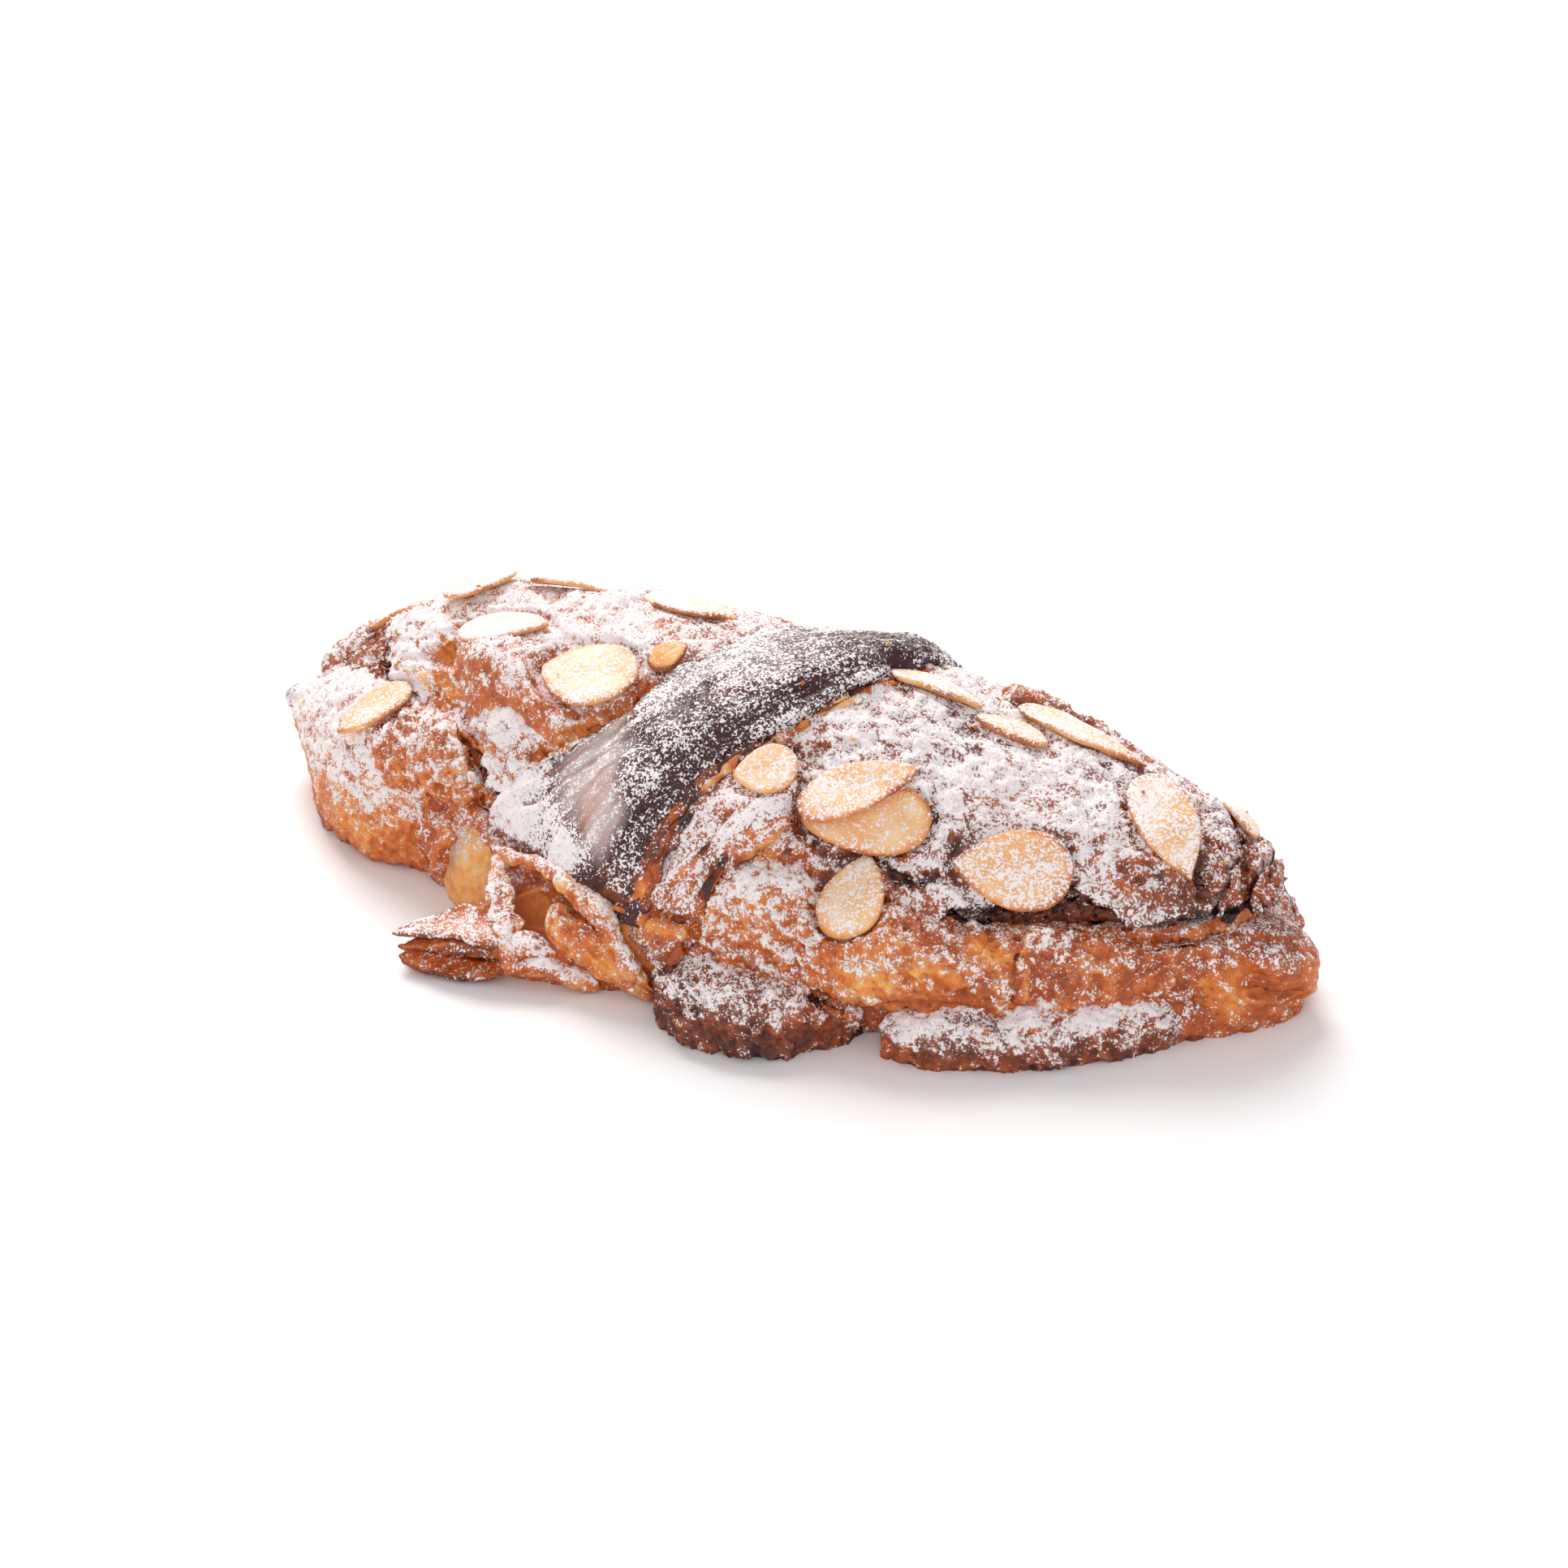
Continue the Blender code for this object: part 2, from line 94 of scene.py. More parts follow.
DOUGH_HUMP = [
    (-51, -13, -6, 35), (-44, -17, -5, 37.3), (-36, -19.5, -7, 37.3), (-28, -22, -11, 35),
    (-24, -21, -15, 33),
]
CREST_CRAG = [(28, 8, 12, 33), (34, 7, 15, 37), (44, 7, 15, 34.3), (53, 6, 13, 31), (58, 7, 11, 28)]
RIGHT_HORN = [
    (60, -16, 4, 13), (68, -12.5, 8, 14.5), (75, -9, 10, 15), (80, -4.5, 9, 13.8), (83, 0, 8.5, 9.8),
    (85, 3, 6.5, 7),
]
TAIL_CORE = [
    (5, -36, -28, 8), (-2, -38.5, -26, 12), (-11, -41, -24, 12.5), (-19, -43, -24, 11.5),
    (-27, -44.5, -26, 9), (-33, -46, -34, 6), (-37, -47, -43, 4), (-38.5, -47.5, -45, 3),
]
DOUGH_BARREL = [
    (-45, -26, -18, 6.5), (-43, -28.5, -18, 11), (-39, -30.5, -18, 13), (-34, -30.5, -18, 13),
    (-31, -29, -20, 9),
]
FILLING = [
    (-81, 0, 8, 20), (-76, -6, 17, 20), (-60, -17, 27, 20), (-25, -27, 36, 20), (0, -30, 38, 20),
    (25, -29.5, 35, 20), (50, -22.5, 29, 20), (66, -13, 20, 20), (74, -4.5, 12, 20), (77.5, 2, 8, 20),
]
LEFT_LOBE = [
    (-91, 1, 5, 8), (-89, -5, 9, 14), (-81, -12.5, 13, 19), (-72, -20, 11, 23), (-63, -25, 6, 25.5),
    (-56, -25.5, 0, 25.5), (-50, -24, -8, 23), (-47, -21, -14, 17),
]
LEFT_SHOULDER = [
    (-64, -21, -9, 22), (-57, -25, -9, 25.5), (-49, -25.5, -12, 25.5), (-43, -25, -16, 24),
    (-38.5, -24, -19, 20),
]
CENTRE_FOOT = [
    (-1, -38, -34, 5), (2, -43, -28, 8.5), (8, -47, -25, 10), (15, -48, -25, 10.5),
    (21, -46.5, -25, 10), (26, -41.5, -26, 8.5), (29, -37, -29, 5), (30.5, -35, -31, 3),
]
CENTRE_DRAPE = [
    (0, -37, -33, 10), (3, -38.5, -26, 17), (9, -39.5, -24, 22), (16, -39, -24, 23), (23, -38, -24, 21),
    (29, -36, -25, 17), (31, -34, -28, 12),
]
RIGHT_FOOT = [
    (34, -34.5, -31, 3), (36.5, -36.5, -27, 7), (44, -36.5, -23, 8.5), (53, -32, -18, 8.5),
    (62, -25, -12, 8.5), (69, -17, -7, 7.5), (73, -11, -5, 5), (75, -8.5, -6, 3),
]
LEDGE = [
    (18, -35, -25, 15), (24, -37.5, -23, 19.5), (34, -36.8, -21, 20.5), (42, -33.5, -19, 18.5),
    (50, -29, -16, 18), (58, -24, -12, 17.5), (66, -17.5, -8, 16.5), (70, -13, -8, 14),
]
FAR_LEFT_LOBE = [
    (-57, 25, 29, 10), (-51, 24, 36, 14), (-40, 24, 41, 16.5), (-27, 25, 43, 16.5), (-17, 27, 42, 14),
    (-13, 31, 36, 9),
]
FAR_RIGHT_LOBE = [
    (24, 31, 35, 9), (29, 25, 40, 14), (38, 23, 42, 16), (50, 19, 37, 16), (59, 15, 30, 13),
    (63, 17, 23, 9),
]

# A strip's row is a point on its left edge and one on its right edge.
MIDDLE_WRAP = [
    ((-35.5, -28, 14), (-5, -37.5, 14.5)), ((-33.5, -27, 20.5), (-3.5, -36, 19.5)),
    ((-26, -24.5, 27.5), (-2.5, -33.5, 24.5)), ((-21, -22, 31.5), (-0.5, -30, 28.5)),
    ((-16, -17.5, 36), (2, -25.5, 32.5)), ((-12, -12, 39.5), (6.5, -20, 36)),
    ((-7, -5.5, 41.5), (12.5, -11, 39.5)), ((-4, 3, 41.7), (17, -1, 41)),
    ((-1, 11, 39.5), (19, 8, 39.5)), ((1, 19, 35), (18.5, 17, 35)), ((2, 27, 27.5), (18.5, 25.5, 27.5)),
    ((3, 33.5, 18), (18.5, 32, 18)), ((3, 37, 11), (18.5, 35.5, 11)),
]
INNER_WRAP = [
    ((-9, -35.5, 9), (1, -38.5, 9)), ((-6, -34.5, 16), (2.5, -36.5, 15.5)),
    ((-2, -31.5, 23), (5, -34, 21)), ((2, -27.5, 30), (8, -30.5, 26.5)),
    ((6, -22.5, 34.5), (12, -26.5, 31)), ((9, -19, 36.5), (15, -23, 33.5)),
]
CREAM_FLAP = [
    ((51.5, -28, 7), (65, -20.5, 7)), ((51.5, -26.5, 13), (65, -19, 12)),
    ((53, -23.5, 20), (63, -17.5, 17.5)),
]

# Height of the upper crust's torn lower edge on the near side, as x and z
LEFT_EDGE = [
    (-90, 20), (-76, 27), (-71, 27.5), (-65, 26.5), (-58, 25.5), (-48, 24.5), (-42, 22.5), (-37, 20), (0, 18),
]
RIGHT_EDGE = [
    (-20, 16), (38, 16), (41, 20.5), (46, 21), (50, 22), (55, 23), (59, 21), (64, 18.5), (90, 18),
]

DUSTED = []  # every piece that the sugar falls on, in the order in which they were made


# ---------------------------------------------------------------- numbers for whole arrays


def along(rows, s):
    """The smooth curve through evenly spaced rows, at each s from 0 to 1 (Catmull-Rom)."""
    rows = np.asarray(rows, float)
    rows = rows.reshape(len(rows), -1)
    place = np.clip(s, 0, 1) * (len(rows) - 1)
    first = np.minimum(place.astype(int), len(rows) - 2)
    f = (place - first)[:, None]
    before, here, there, after = (rows[np.clip(first + k, 0, len(rows) - 1)] for k in (-1, 0, 1, 2))
    cubic = 3 * (here - there) + after - before
    square = 2 * before - 5 * here + 4 * there - after
    return here + 0.5 * f * (there - before + f * (square + f * cubic))


def signed_power(values, power):
    return np.sign(values) * np.abs(values) ** power


def ramp(values, low, high):
    """0 below low, 1 above high, and an S-curve between them."""
    t = np.clip((values - low) / (high - low), 0, 1)
    return t * t * (3 - 2 * t)


def scattered(cells, seed):
    """A number from 0 to 1 for each whole-number lattice point, mixed from its coordinates and the seed."""
    x, y, z = (cells[..., k].astype(np.uint64) for k in range(3))
    mixed = (x * np.uint64(374761393) + y * np.uint64(668265263) + z * np.uint64(1440670441)
             + np.uint64(seed * 97531 + 12345)) & np.uint64(0xFFFFFFFF)
    mixed = ((mixed ^ (mixed >> np.uint64(13))) * np.uint64(1274126177)) & np.uint64(0xFFFFFFFF)
    mixed = ((mixed ^ (mixed >> np.uint64(15))) * np.uint64(2246822519)) & np.uint64(0xFFFFFFFF)
    return ((mixed ^ (mixed >> np.uint64(16))) & np.uint64(0xFFFF)).astype(float) / 65535


def cloud(points, size, seed):
    """Smooth noise from -1 to 1: lattice values blended by S-curves between the eight corners of a cell."""
    place = points / size + LATTICE_SHIFT
    cell = np.floor(place)
    f = place - cell
    f = f * f * (3 - 2 * f)
    total = np.zeros(points.shape[:-1])
    for corner in itertools.product((0, 1), repeat=3):
        weight = np.prod(np.where(np.array(corner) == 1, f, 1 - f), axis=-1)
        total += weight * scattered(cell + np.array(corner), seed)
    return 2 * total - 1


TURN = np.array(Matrix.Rotation(0.7, 3, (0.4, 0.7, 0.6)))


def clouds(points, size, seed, octaves=3, gain=0.5):
    """Noise summed over octaves, each turned, half the size of the last and weaker by the gain."""
    total, weight, place = np.zeros(points.shape[:-1]), 1.0, points
    for octave in range(octaves):
        total += weight * cloud(place, size * 0.5**octave, seed + octave)
        place = place @ TURN.T
        weight *= gain
    return total


def pores(points, size, seed):
    """Distance in cells to the nearest of one random point per cell: 0 in a pore's middle, near 1 outside."""
    place = points / size + LATTICE_SHIFT
    cell = np.floor(place)
    nearest = np.full(points.shape[:-1], 9.0)
    for step in itertools.product((-1, 0, 1), repeat=3):
        there = cell + np.array(step)
        centre = there + np.stack([scattered(there, seed + k) for k in range(3)], -1)
        nearest = np.minimum(nearest, ((place - centre) ** 2).sum(-1))
    return np.sqrt(nearest)


def from_line(points, line):
    """Distance of each point from a line through a few places."""
    line = np.asarray(line, float)
    nearest = np.full(points.shape[:-1], np.inf)
    for start, stop in zip(line[:-1], line[1:]):
        run = stop - start
        t = np.clip(((points - start) @ run) / (run @ run), 0, 1)
        nearest = np.minimum(nearest, np.linalg.norm(points - start - t[..., None] * run, axis=-1))
    return nearest


def near(points, line, width):
    """1 on a line of points and falling off over this width, found only for the points in the line's box."""
    line = np.array(line, float)
    low, high = line.min(0) - MARK_REACH * width, line.max(0) + MARK_REACH * width
    inside = ((points > low) & (points < high)).all(-1)
    close = np.zeros(points.shape[:-1])
    if inside.any():
        close[inside] = np.exp(-((from_line(points[inside], line) / width) ** 2))
    return close


def normals_of(points):
    """Outward directions on a grid that is closed across: the cross product of its two directions."""
    lengthwise = np.gradient(points, axis=0)
    crosswise = np.roll(points, -1, 1) - np.roll(points, 1, 1)
    outward = np.cross(crosswise, lengthwise)
    return outward / np.maximum(np.linalg.norm(outward, axis=-1, keepdims=True), 1e-9)


def even_steps(profile, step, weights=None):
    """Shares from 0 to 1 that cut a dense profile into even steps, finer where the weights are high."""
    lengths = np.linalg.norm(np.diff(profile, axis=0), axis=1)
    if weights is not None:
        lengths = lengths * (weights[1:] + weights[:-1]) / 2
    total = np.concatenate([[0], np.cumsum(lengths)])
    count = max(8, int(round(total[-1] / step)))
    return np.interp(np.linspace(0, total[-1], count), total, np.linspace(0, 1, len(total)))


# ---------------------------------------------------------------- surfaces


def section(values, angle, closing, rim, bottom, bulge):
    """y and z of a roll's superellipse at this angle, from each station's near side, far side and top."""
    near_side, far_side, top = values
    above, far_flank = np.sin(angle) > 0, np.cos(angle) > 0
    powers = [np.where(far_flank, bulge[k - 2], bulge[k]) for k in (0, 1)]
    wide, high = (np.where(above, power, FLAT_UNDERSIDE) for power in powers)
    across = signed_power(np.cos(angle), 2 / wide) * closing
    up = signed_power(np.sin(angle), 2 / high) * closing
    widest = np.minimum(rim, bottom + WIDEST_SHARE * (top - bottom))
    y = (near_side + far_side) / 2 + across * (far_side - near_side) / 2
    return y, widest + up * np.where(above, top - widest, widest - bottom)


def end_closing(s):
    """How far a roll or a rope is open at share s: the square root of 1 - |2s - 1| to a power."""
    return np.sqrt(np.clip(1 - np.abs(2 * s - 1) ** BLUNT_ENDS, 0, 1))


def roll(stations, rim, bottom=-TRAY_BITE, bulge=(2.4, 2.0), step=0.5, span=(0.0, 1.0), floor=0.0):
    """A closed loft along X: at share s the section is a superellipse, with x, near side, far side and top on
    the smooth curve through the stations, and it closes at both ends. Gives grid points, rows along X by
    columns round the section, without the rows that stay below the floor."""
    dense = np.linspace(0, 1, FINE_STATIONS)
    x, near_side, far_side, top = along(stations, dense).T
    closing = end_closing(dense)
    profile = np.stack([x, (far_side - near_side) / 2 * closing, (top - bottom) / 2 * closing], 1)
    s = even_steps(profile, step)
    s = s[(s >= span[0]) & (s <= span[1])]
    x, near_side, far_side, top = along(stations, s).T
    middle = np.argmax(far_side - near_side)
    angle = np.linspace(0, 2 * math.pi, FINE_SECTION)
    y, z = section((near_side[middle], far_side[middle], top[middle]), angle, 1, rim, bottom, bulge)
    weights = np.where(z > max(floor, bottom) - 0.5, 1.0, SPARSE_BELOW)
    weights = weights * np.where(y > (near_side + far_side)[middle] / 2, SPARSE_BEHIND, 1.0)
    share = even_steps(np.stack([y, z], 1), step, weights)[:-1]
    angle = share[None, :] * 2 * math.pi
    sizes = (near_side[:, None], far_side[:, None], top[:, None])
    y, z = section(sizes, angle, end_closing(s)[:, None], rim, bottom, bulge)
    return np.stack([np.broadcast_to(x[:, None], y.shape), y, z], -1)[z.max(1) > floor + 0.4]


def sheet(rows, crown, thickness, step=0.45, ragged=0.0, seed=0, lift=WRAP_LIFT):
    """A closed sheet between two edges: at share s along and w across, a point lies on the straight line
    between them, arched by crown times the sine of pi w to a power. It runs over its top and back below."""
    left, right = np.hsplit(along(rows, np.linspace(0, 1, FINE_STRIP)), 2)
    s = even_steps((left + right) / 2, step)
    width = np.linalg.norm(left - right, axis=1).max()
    count = max(6, int(round(width / step)))
    left, right = np.hsplit(along(rows, s), 2)
    heading = np.gradient(left + right, axis=0)
    heading /= np.linalg.norm(heading, axis=1)[:, None]
    across = right - left
    outward = np.cross(across, heading)
    outward /= np.linalg.norm(outward, axis=1)[:, None]
    over = np.linspace(0, 1, count)
    under = np.linspace(1, 0, max(5, count // 2))
    w = np.concatenate([over, under])[None, :, None]
    depth = np.concatenate([np.zeros(len(over)), -np.ones(len(under))])[None, :, None] * thickness
    taper = np.clip(np.sin(math.pi * np.clip(w, 0.001, 0.999)), 0, 1) ** 0.25
    arch = crown * np.sin(math.pi * w**CREASE_SIDE) + lift * w
    frill = ragged * clouds(np.stack([s * len(s) * step, s * 0, s * 0], 1), 3.0, seed, 3)[:, None, None]
    frill = frill * (np.abs(2 * w - 1) ** 4) * np.sign(w - 0.5)
    reach = across[:, None, :] * (w + frill / width)
    shell = Shell(left[:, None, :] + reach + outward[:, None, :] * (arch + depth * (0.35 + 0.65 * taper)))
    shell.s, shell.w = np.broadcast_arrays(s[:, None], w[..., 0])
    shell.width = width
    return shell


def rope(rows, step=0.35, power=2.2):
    """A closed rope through rows of x, y, z, half width and half height: its section is a superellipse whose
    height stands on the path's upward side, and it closes at both ends like a roll."""
    dense = along(rows, np.linspace(0, 1, FINE_ROPE))
    s = even_steps(dense[:, :3], step)
    rows = along(rows, s)
    ahead = np.gradient(rows[:, :3], axis=0)
    ahead /= np.linalg.norm(ahead, axis=1)[:, None]
    up = np.array([0, 0, 1.0]) - ahead * ahead[:, 2:]
    up /= np.linalg.norm(up, axis=1)[:, None]
    aside = np.cross(up, ahead)
    count = max(10, int(2 * math.pi * rows[:, 3:].max() / step))
    angle = np.arange(count)[None, :, None] * 2 * math.pi / count
    wide, high = (rows[:, k] * end_closing(s) for k in (3, 4))
    out = signed_power(np.cos(angle), 2 / power) * (aside * wide[:, None])[:, None]
    rise = signed_power(np.sin(angle), 2 / power) * (up * high[:, None])[:, None]
    return Shell(rows[:, None, :3] + out + rise)


class Shell:
    """Grid points with the numbers that the materials read: how dark it is baked, with painted shade and
    painted light added in places, how much sugar it holds, lowered in places as painted shade and raised as a
    painted highlight, how raised, and how much the finest sugar veils it."""

    def __init__(self, points):
        self.move_to(points)
        self.raised = np.zeros(points.shape[:2])
        self.bake = np.full(points.shape[:2], 0.5)
        self.cover = np.ones(points.shape[:2])
        self.veil = np.full(points.shape[:2], 0.1)

    def move_to(self, points):
        self.points = points
        self.normals = normals_of(points)
        return self

    def push(self, amount, direction=None, weight=1.0):
        """Moves the surface along its normals or a direction, and counts this share of it as raised."""
        way = self.normals if direction is None else direction
        self.raised = self.raised + weight * amount
        self.move_to(self.points + way * amount[..., None])


def crusty(shell, depth=1.0, seed=1):
    """Flaky crust: broad swells, crossing wrinkles, patches of small lumps and a fine grit."""
    p = shell.points
    swell = 0.75 * clouds(p, 9.0, seed, 2)
    wrinkle = 0.6 * (1 - 2 * np.abs(clouds(p * np.array([0.8, 1.1, 1.2]), 3.8, seed + 7, 3)))
    patch = ramp(clouds(p, 10.0, seed + 9, 2), -0.3, 0.4)
    lumps = 1.0 * (0.45 - pores(p + 0.8 * cloud(p, 2.0, seed + 2)[..., None], 2.8, seed + 3))
    shell.push(depth * (swell + wrinkle + patch * lumps), weight=0.4)
    shell.push(depth * 0.42 * clouds(shell.points, 1.3, seed + 11, 3, 0.7))
    return shell


def crumbly(shell, depth=1.0, seed=1):
    """Set cream: broad swells, lumps of two sizes with creases between, pores of two sizes, and crumbs."""
    p = shell.points
    swell = 0.7 * clouds(p, 8.0, seed, 2)
    bent = p + 1.6 * cloud(p, 3.5, seed + 2)[..., None]
    lumps = 1.7 * (0.5 - pores(bent, 5.0, seed + 1)) + 1.0 * (0.45 - pores(bent, 2.4, seed + 4))
    shell.push(depth * (swell + lumps), weight=0.35)
    p = shell.points
    big = ramp(pores(p, 2.1, seed + 3), 0.12, 0.6) - 1
    small = ramp(pores(p, 1.1, seed + 5), 0.12, 0.6) - 1
    patch = ramp(clouds(p, 7.0, seed + 9, 2), -0.7, 0.3)
    shell.push(depth * (0.8 * big * patch + 0.5 * small + 0.5 * clouds(p, 1.4, seed + 13, 3, 0.7)))
    return shell


def layered(shell, depth=0.35, pitch=1.3, seed=1, direction=(0.0, 0.25, 1.0)):
    """Laminated dough: thin ridges that follow one direction's levels, bent by noise."""
    p = shell.points
    level = p @ (np.array(direction) / np.linalg.norm(direction)) + 1.6 * clouds(p, 9.0, seed, 2)
    phase = level / pitch
    ridge = np.abs((phase % 1.0) * 2 - 1) ** 0.7
    strength = 0.6 + 0.4 * cloud(np.stack([np.floor(phase), phase * 0, phase * 0], -1) * 7.7, 1.0, seed + 4)
    shell.push(depth * (ridge - 0.5) * strength + 0.35 * clouds(p, 5.0, seed + 2, 2))
    return shell


# ---------------------------------------------------------------- meshes and attributes


def loop_faces(rows, columns, first):
    """Quads of a grid that is closed across, and a fan of triangles onto a pole at each end."""
    i, j = np.meshgrid(np.arange(rows - 1), np.arange(columns), indexing="ij")
    k = (j + 1) % columns
    quads = np.stack([i * columns + j, i * columns + k, (i + 1) * columns + k, (i + 1) * columns + j], -1)
    j = np.arange(columns)
    k = (j + 1) % columns
    start, stop = rows * columns, rows * columns + 1
    last = (rows - 1) * columns
    fans = np.concatenate([
        np.stack([np.full(columns, start), k, j], 1),
        np.stack([np.full(columns, stop), last + j, last + k], 1),
    ])
    return quads.reshape(-1, 4) + first, fans + first


def add_piece(name, points, faces, material):
    """One object with this mesh in metres, which rides on the croissant."""
    mesh = bpy.data.meshes.new(name)
    mesh.from_pydata(points, [], faces)
    mesh.materials.append(material)
    made = bpy.data.objects.new(name, mesh)
    bpy.context.scene.collection.objects.link(made)
    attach(made, "root")
    return made


def piece(name, shells, material, replaced=(), pressed=True):
    """One object made of closed grids, with their numbers stored as attributes."""
    verts, faces, numbers, first = [], [], {"bake": [], "cover": [], "raised": [], "veil": []}, 0
    for shell in shells:
        if pressed:
            make_room(shell)
        rows, columns = shell.points.shape[:2]
        quads, fans = loop_faces(rows, columns, first)
        faces += quads.tolist() + fans.tolist()
        grid = shell.points.reshape(-1, 3)
        poles = np.stack([shell.points[0].mean(0), shell.points[-1].mean(0)])
        verts.append(np.concatenate([grid, poles]))
        for key, values in numbers.items():
            held = getattr(shell, key)
            values.append(np.concatenate([held.ravel(), [held[0].mean(), held[-1].mean()]]))
        first += rows * columns + 2
    made = add_piece(name, (np.concatenate(verts) - TABLE_CENTRE) * MM, faces, material)
    for key, values in numbers.items():
        held = made.data.attributes.new(key, "FLOAT", "POINT")
        held.data.foreach_set("value", np.concatenate(values).astype(np.float32))
    made.data.shade_smooth()
    if replaced:
        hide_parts(*replaced)
    DUSTED.append(made)


# ---------------------------------------------------------------- shader groups and materials


def tone(red, green, blue):
    """A colour given as a screen shows it, 0 to 255, as the linear colour that a shader takes."""
    linear = [((c / 255 + 0.055) / 1.055) ** 2.4 if c > 10 else c / 255 / 12.92 for c in (red, green, blue)]
    return (*linear, 1.0)


BAKED = [
    (0.0, tone(252, 208, 140)), (0.2, tone(244, 168, 84)), (0.4, tone(218, 118, 46)),
    (0.58, tone(182, 84, 32)), (0.75, tone(136, 62, 28)), (0.88, tone(98, 44, 26)), (1.0, tone(66, 30, 31)),
]
SUGAR = tone(248, 241, 242)


class Tree:
    """A node tree that is being written: adds nodes, sets their inputs and links them."""

    def __init__(self, tree):
        self.tree = tree

    def add(self, kind, settings=None, **inputs):
        node = self.tree.nodes.new(kind)
        for key, value in (settings or {}).items():
            setattr(node, key, value)
        for key, value in inputs.items():
            self.put(node, key.replace("_", " "), value)
        return node

    def put(self, node, key, value):
        socket = node.inputs[int(key)] if str(key).isdigit() else node.inputs[key]
        if isinstance(value, bpy.types.NodeSocket):
            self.tree.links.new(value, socket)
        else:
            socket.default_value = value

    def maths(self, operation, *values):
        node = self.add("ShaderNodeMath", {"operation": operation})
        for index, value in enumerate(values):
            self.put(node, index, value)
        return node.outputs[0]

    def noise(self, scale, detail=3.0, rough=0.55, warp=0.0):
        place = self.add("ShaderNodeTexCoord").outputs["Object"]
        node = self.add("ShaderNodeTexNoise", Vector=place, Scale=scale, Detail=detail, Roughness=rough)
        node.inputs["Distortion"].default_value = warp
        return node.outputs["Fac"]

    def swing(self, *noise):
        """Noise of this scale, detail, roughness and warp, less a half, so that it swings about zero."""
        return self.maths("SUBTRACT", self.noise(*noise), 0.5)

    def remap(self, value, low, high, to_low=0.0, to_high=1.0):
        node = self.add("ShaderNodeMapRange", {"interpolation_type": "SMOOTHSTEP"})
        for key, number in zip(("Value", "From Min", "From Max", "To Min", "To Max"),
                               (value, low, high, to_low, to_high)):
            self.put(node, key, number)
        return node.outputs["Result"]

    def mix(self, share, first, second):
        node = self.add("ShaderNodeMix", {"data_type": "RGBA"})
        for index, value in ((0, share), (6, first), (7, second)):
            self.put(node, index, value)
        return node.outputs[2]

    def ramp(self, value, stops):
        node = self.add("ShaderNodeValToRGB", Fac=value)
        elements = node.color_ramp.elements
        while len(elements) < len(stops):
            elements.new(0.5)
        for element, (place, colour) in zip(elements, stops):
            element.position = place
            element.color = colour
        return node.outputs["Color"]


def group(name, inputs, outputs):
    """A new shader group with these sockets, and its input and output nodes."""
    made = bpy.data.node_groups.new(name, "ShaderNodeTree")
    for direction, sockets in (("INPUT", inputs), ("OUTPUT", outputs)):
        for label, kind, start in sockets:
            socket = made.interface.new_socket(label, in_out=direction, socket_type=kind)
            if start is not None:
                socket.default_value = start
    tree = Tree(made)
    return tree, tree.add("NodeGroupInput"), tree.add("NodeGroupOutput")


FLOAT, COLOUR = "NodeSocketFloat", "NodeSocketColor"


def baked_group():
    """Colour of baked crust from pale gold to near black, by tone, with mottling of two sizes, and painted
    shade: darker in the relief's pits and a little lighter on its ridges.
    """
    if "Baked crust" in bpy.data.node_groups:
        return bpy.data.node_groups["Baked crust"]
    tree, given, out = group(
        "Baked crust",
        [("Tone", FLOAT, 0.5), ("Raised", FLOAT, 0.0), ("Mottle", FLOAT, 0.3)],
        [("Colour", COLOUR, None)],
    )
    broad = tree.swing(160, 4, 0.6, 0.4)
    fine = tree.swing(900, 3, 0.6)
    spread = tree.maths("MULTIPLY_ADD", broad, 1.3, tree.maths("MULTIPLY", fine, 0.8))
    level = tree.maths("MULTIPLY_ADD", spread, given.outputs["Mottle"], given.outputs["Tone"])
    # painted shade: darker in the relief's pits, a little lighter on its ridges
    painted_pit_shade = tree.maths("MULTIPLY", tree.remap(given.outputs["Raised"], -1.2, 0.6, 1.0, -0.35), 0.16)
    tree.put(out, "Colour", tree.ramp(tree.maths("ADD", level, painted_pit_shade), BAKED))
    return tree.tree


def sugar_group():
    """Icing sugar over a colour: a thin haze where it lies open, and dense specks where more has fallen. A
    haze below zero is an even film of that strength, as where sugar has melted."""
    if "Icing sugar" in bpy.data.node_groups:
        return bpy.data.node_groups["Icing sugar"]
    tree, given, out = group(
        "Icing sugar",
        [
            ("Colour", COLOUR, tone(150, 90, 50)), ("Cover", FLOAT, 0.5), ("Raised", FLOAT, 0.0),
            ("Haze", FLOAT, 0.1), ("Sugar", COLOUR, SUGAR),
        ],
        [("Colour", COLOUR, None), ("Mask", FLOAT, None)],
    )
    clumps = tree.swing(240, 4, 0.6, 0.3)
    specks = tree.swing(2600, 2, 0.6)
    knots = tree.swing(1150, 2, 0.5)
    amount = tree.maths("MULTIPLY_ADD", clumps, 0.7, given.outputs["Cover"])
    raised = tree.remap(given.outputs["Raised"], -1.0, 1.0, -1.0, 1.0)
    amount = tree.maths("MULTIPLY_ADD", raised, 0.45, amount)
    amount = tree.maths("MINIMUM", amount, 1.2)
    dense = tree.maths("MULTIPLY_ADD", specks, 4.2, tree.maths("MULTIPLY_ADD", knots, 1.7, amount))
    haze = tree.maths("MULTIPLY", tree.remap(amount, 0.1, 1.0, 0.0, 1.0), given.outputs["Haze"])
    haze = tree.maths("MAXIMUM", haze, tree.remap(amount, 0.8, 1.2, 0.0, 0.65))
    mask = tree.maths("MAXIMUM", haze, tree.remap(dense, 0.56, 0.74, 0.0, 0.97))
    mask = tree.maths("MAXIMUM", mask, tree.maths("MULTIPLY", given.outputs["Haze"], -1.0))
    tree.put(out, "Colour", tree.mix(mask, given.outputs["Colour"], given.outputs["Sugar"]))
    tree.put(out, "Mask", mask)
    return tree.tree


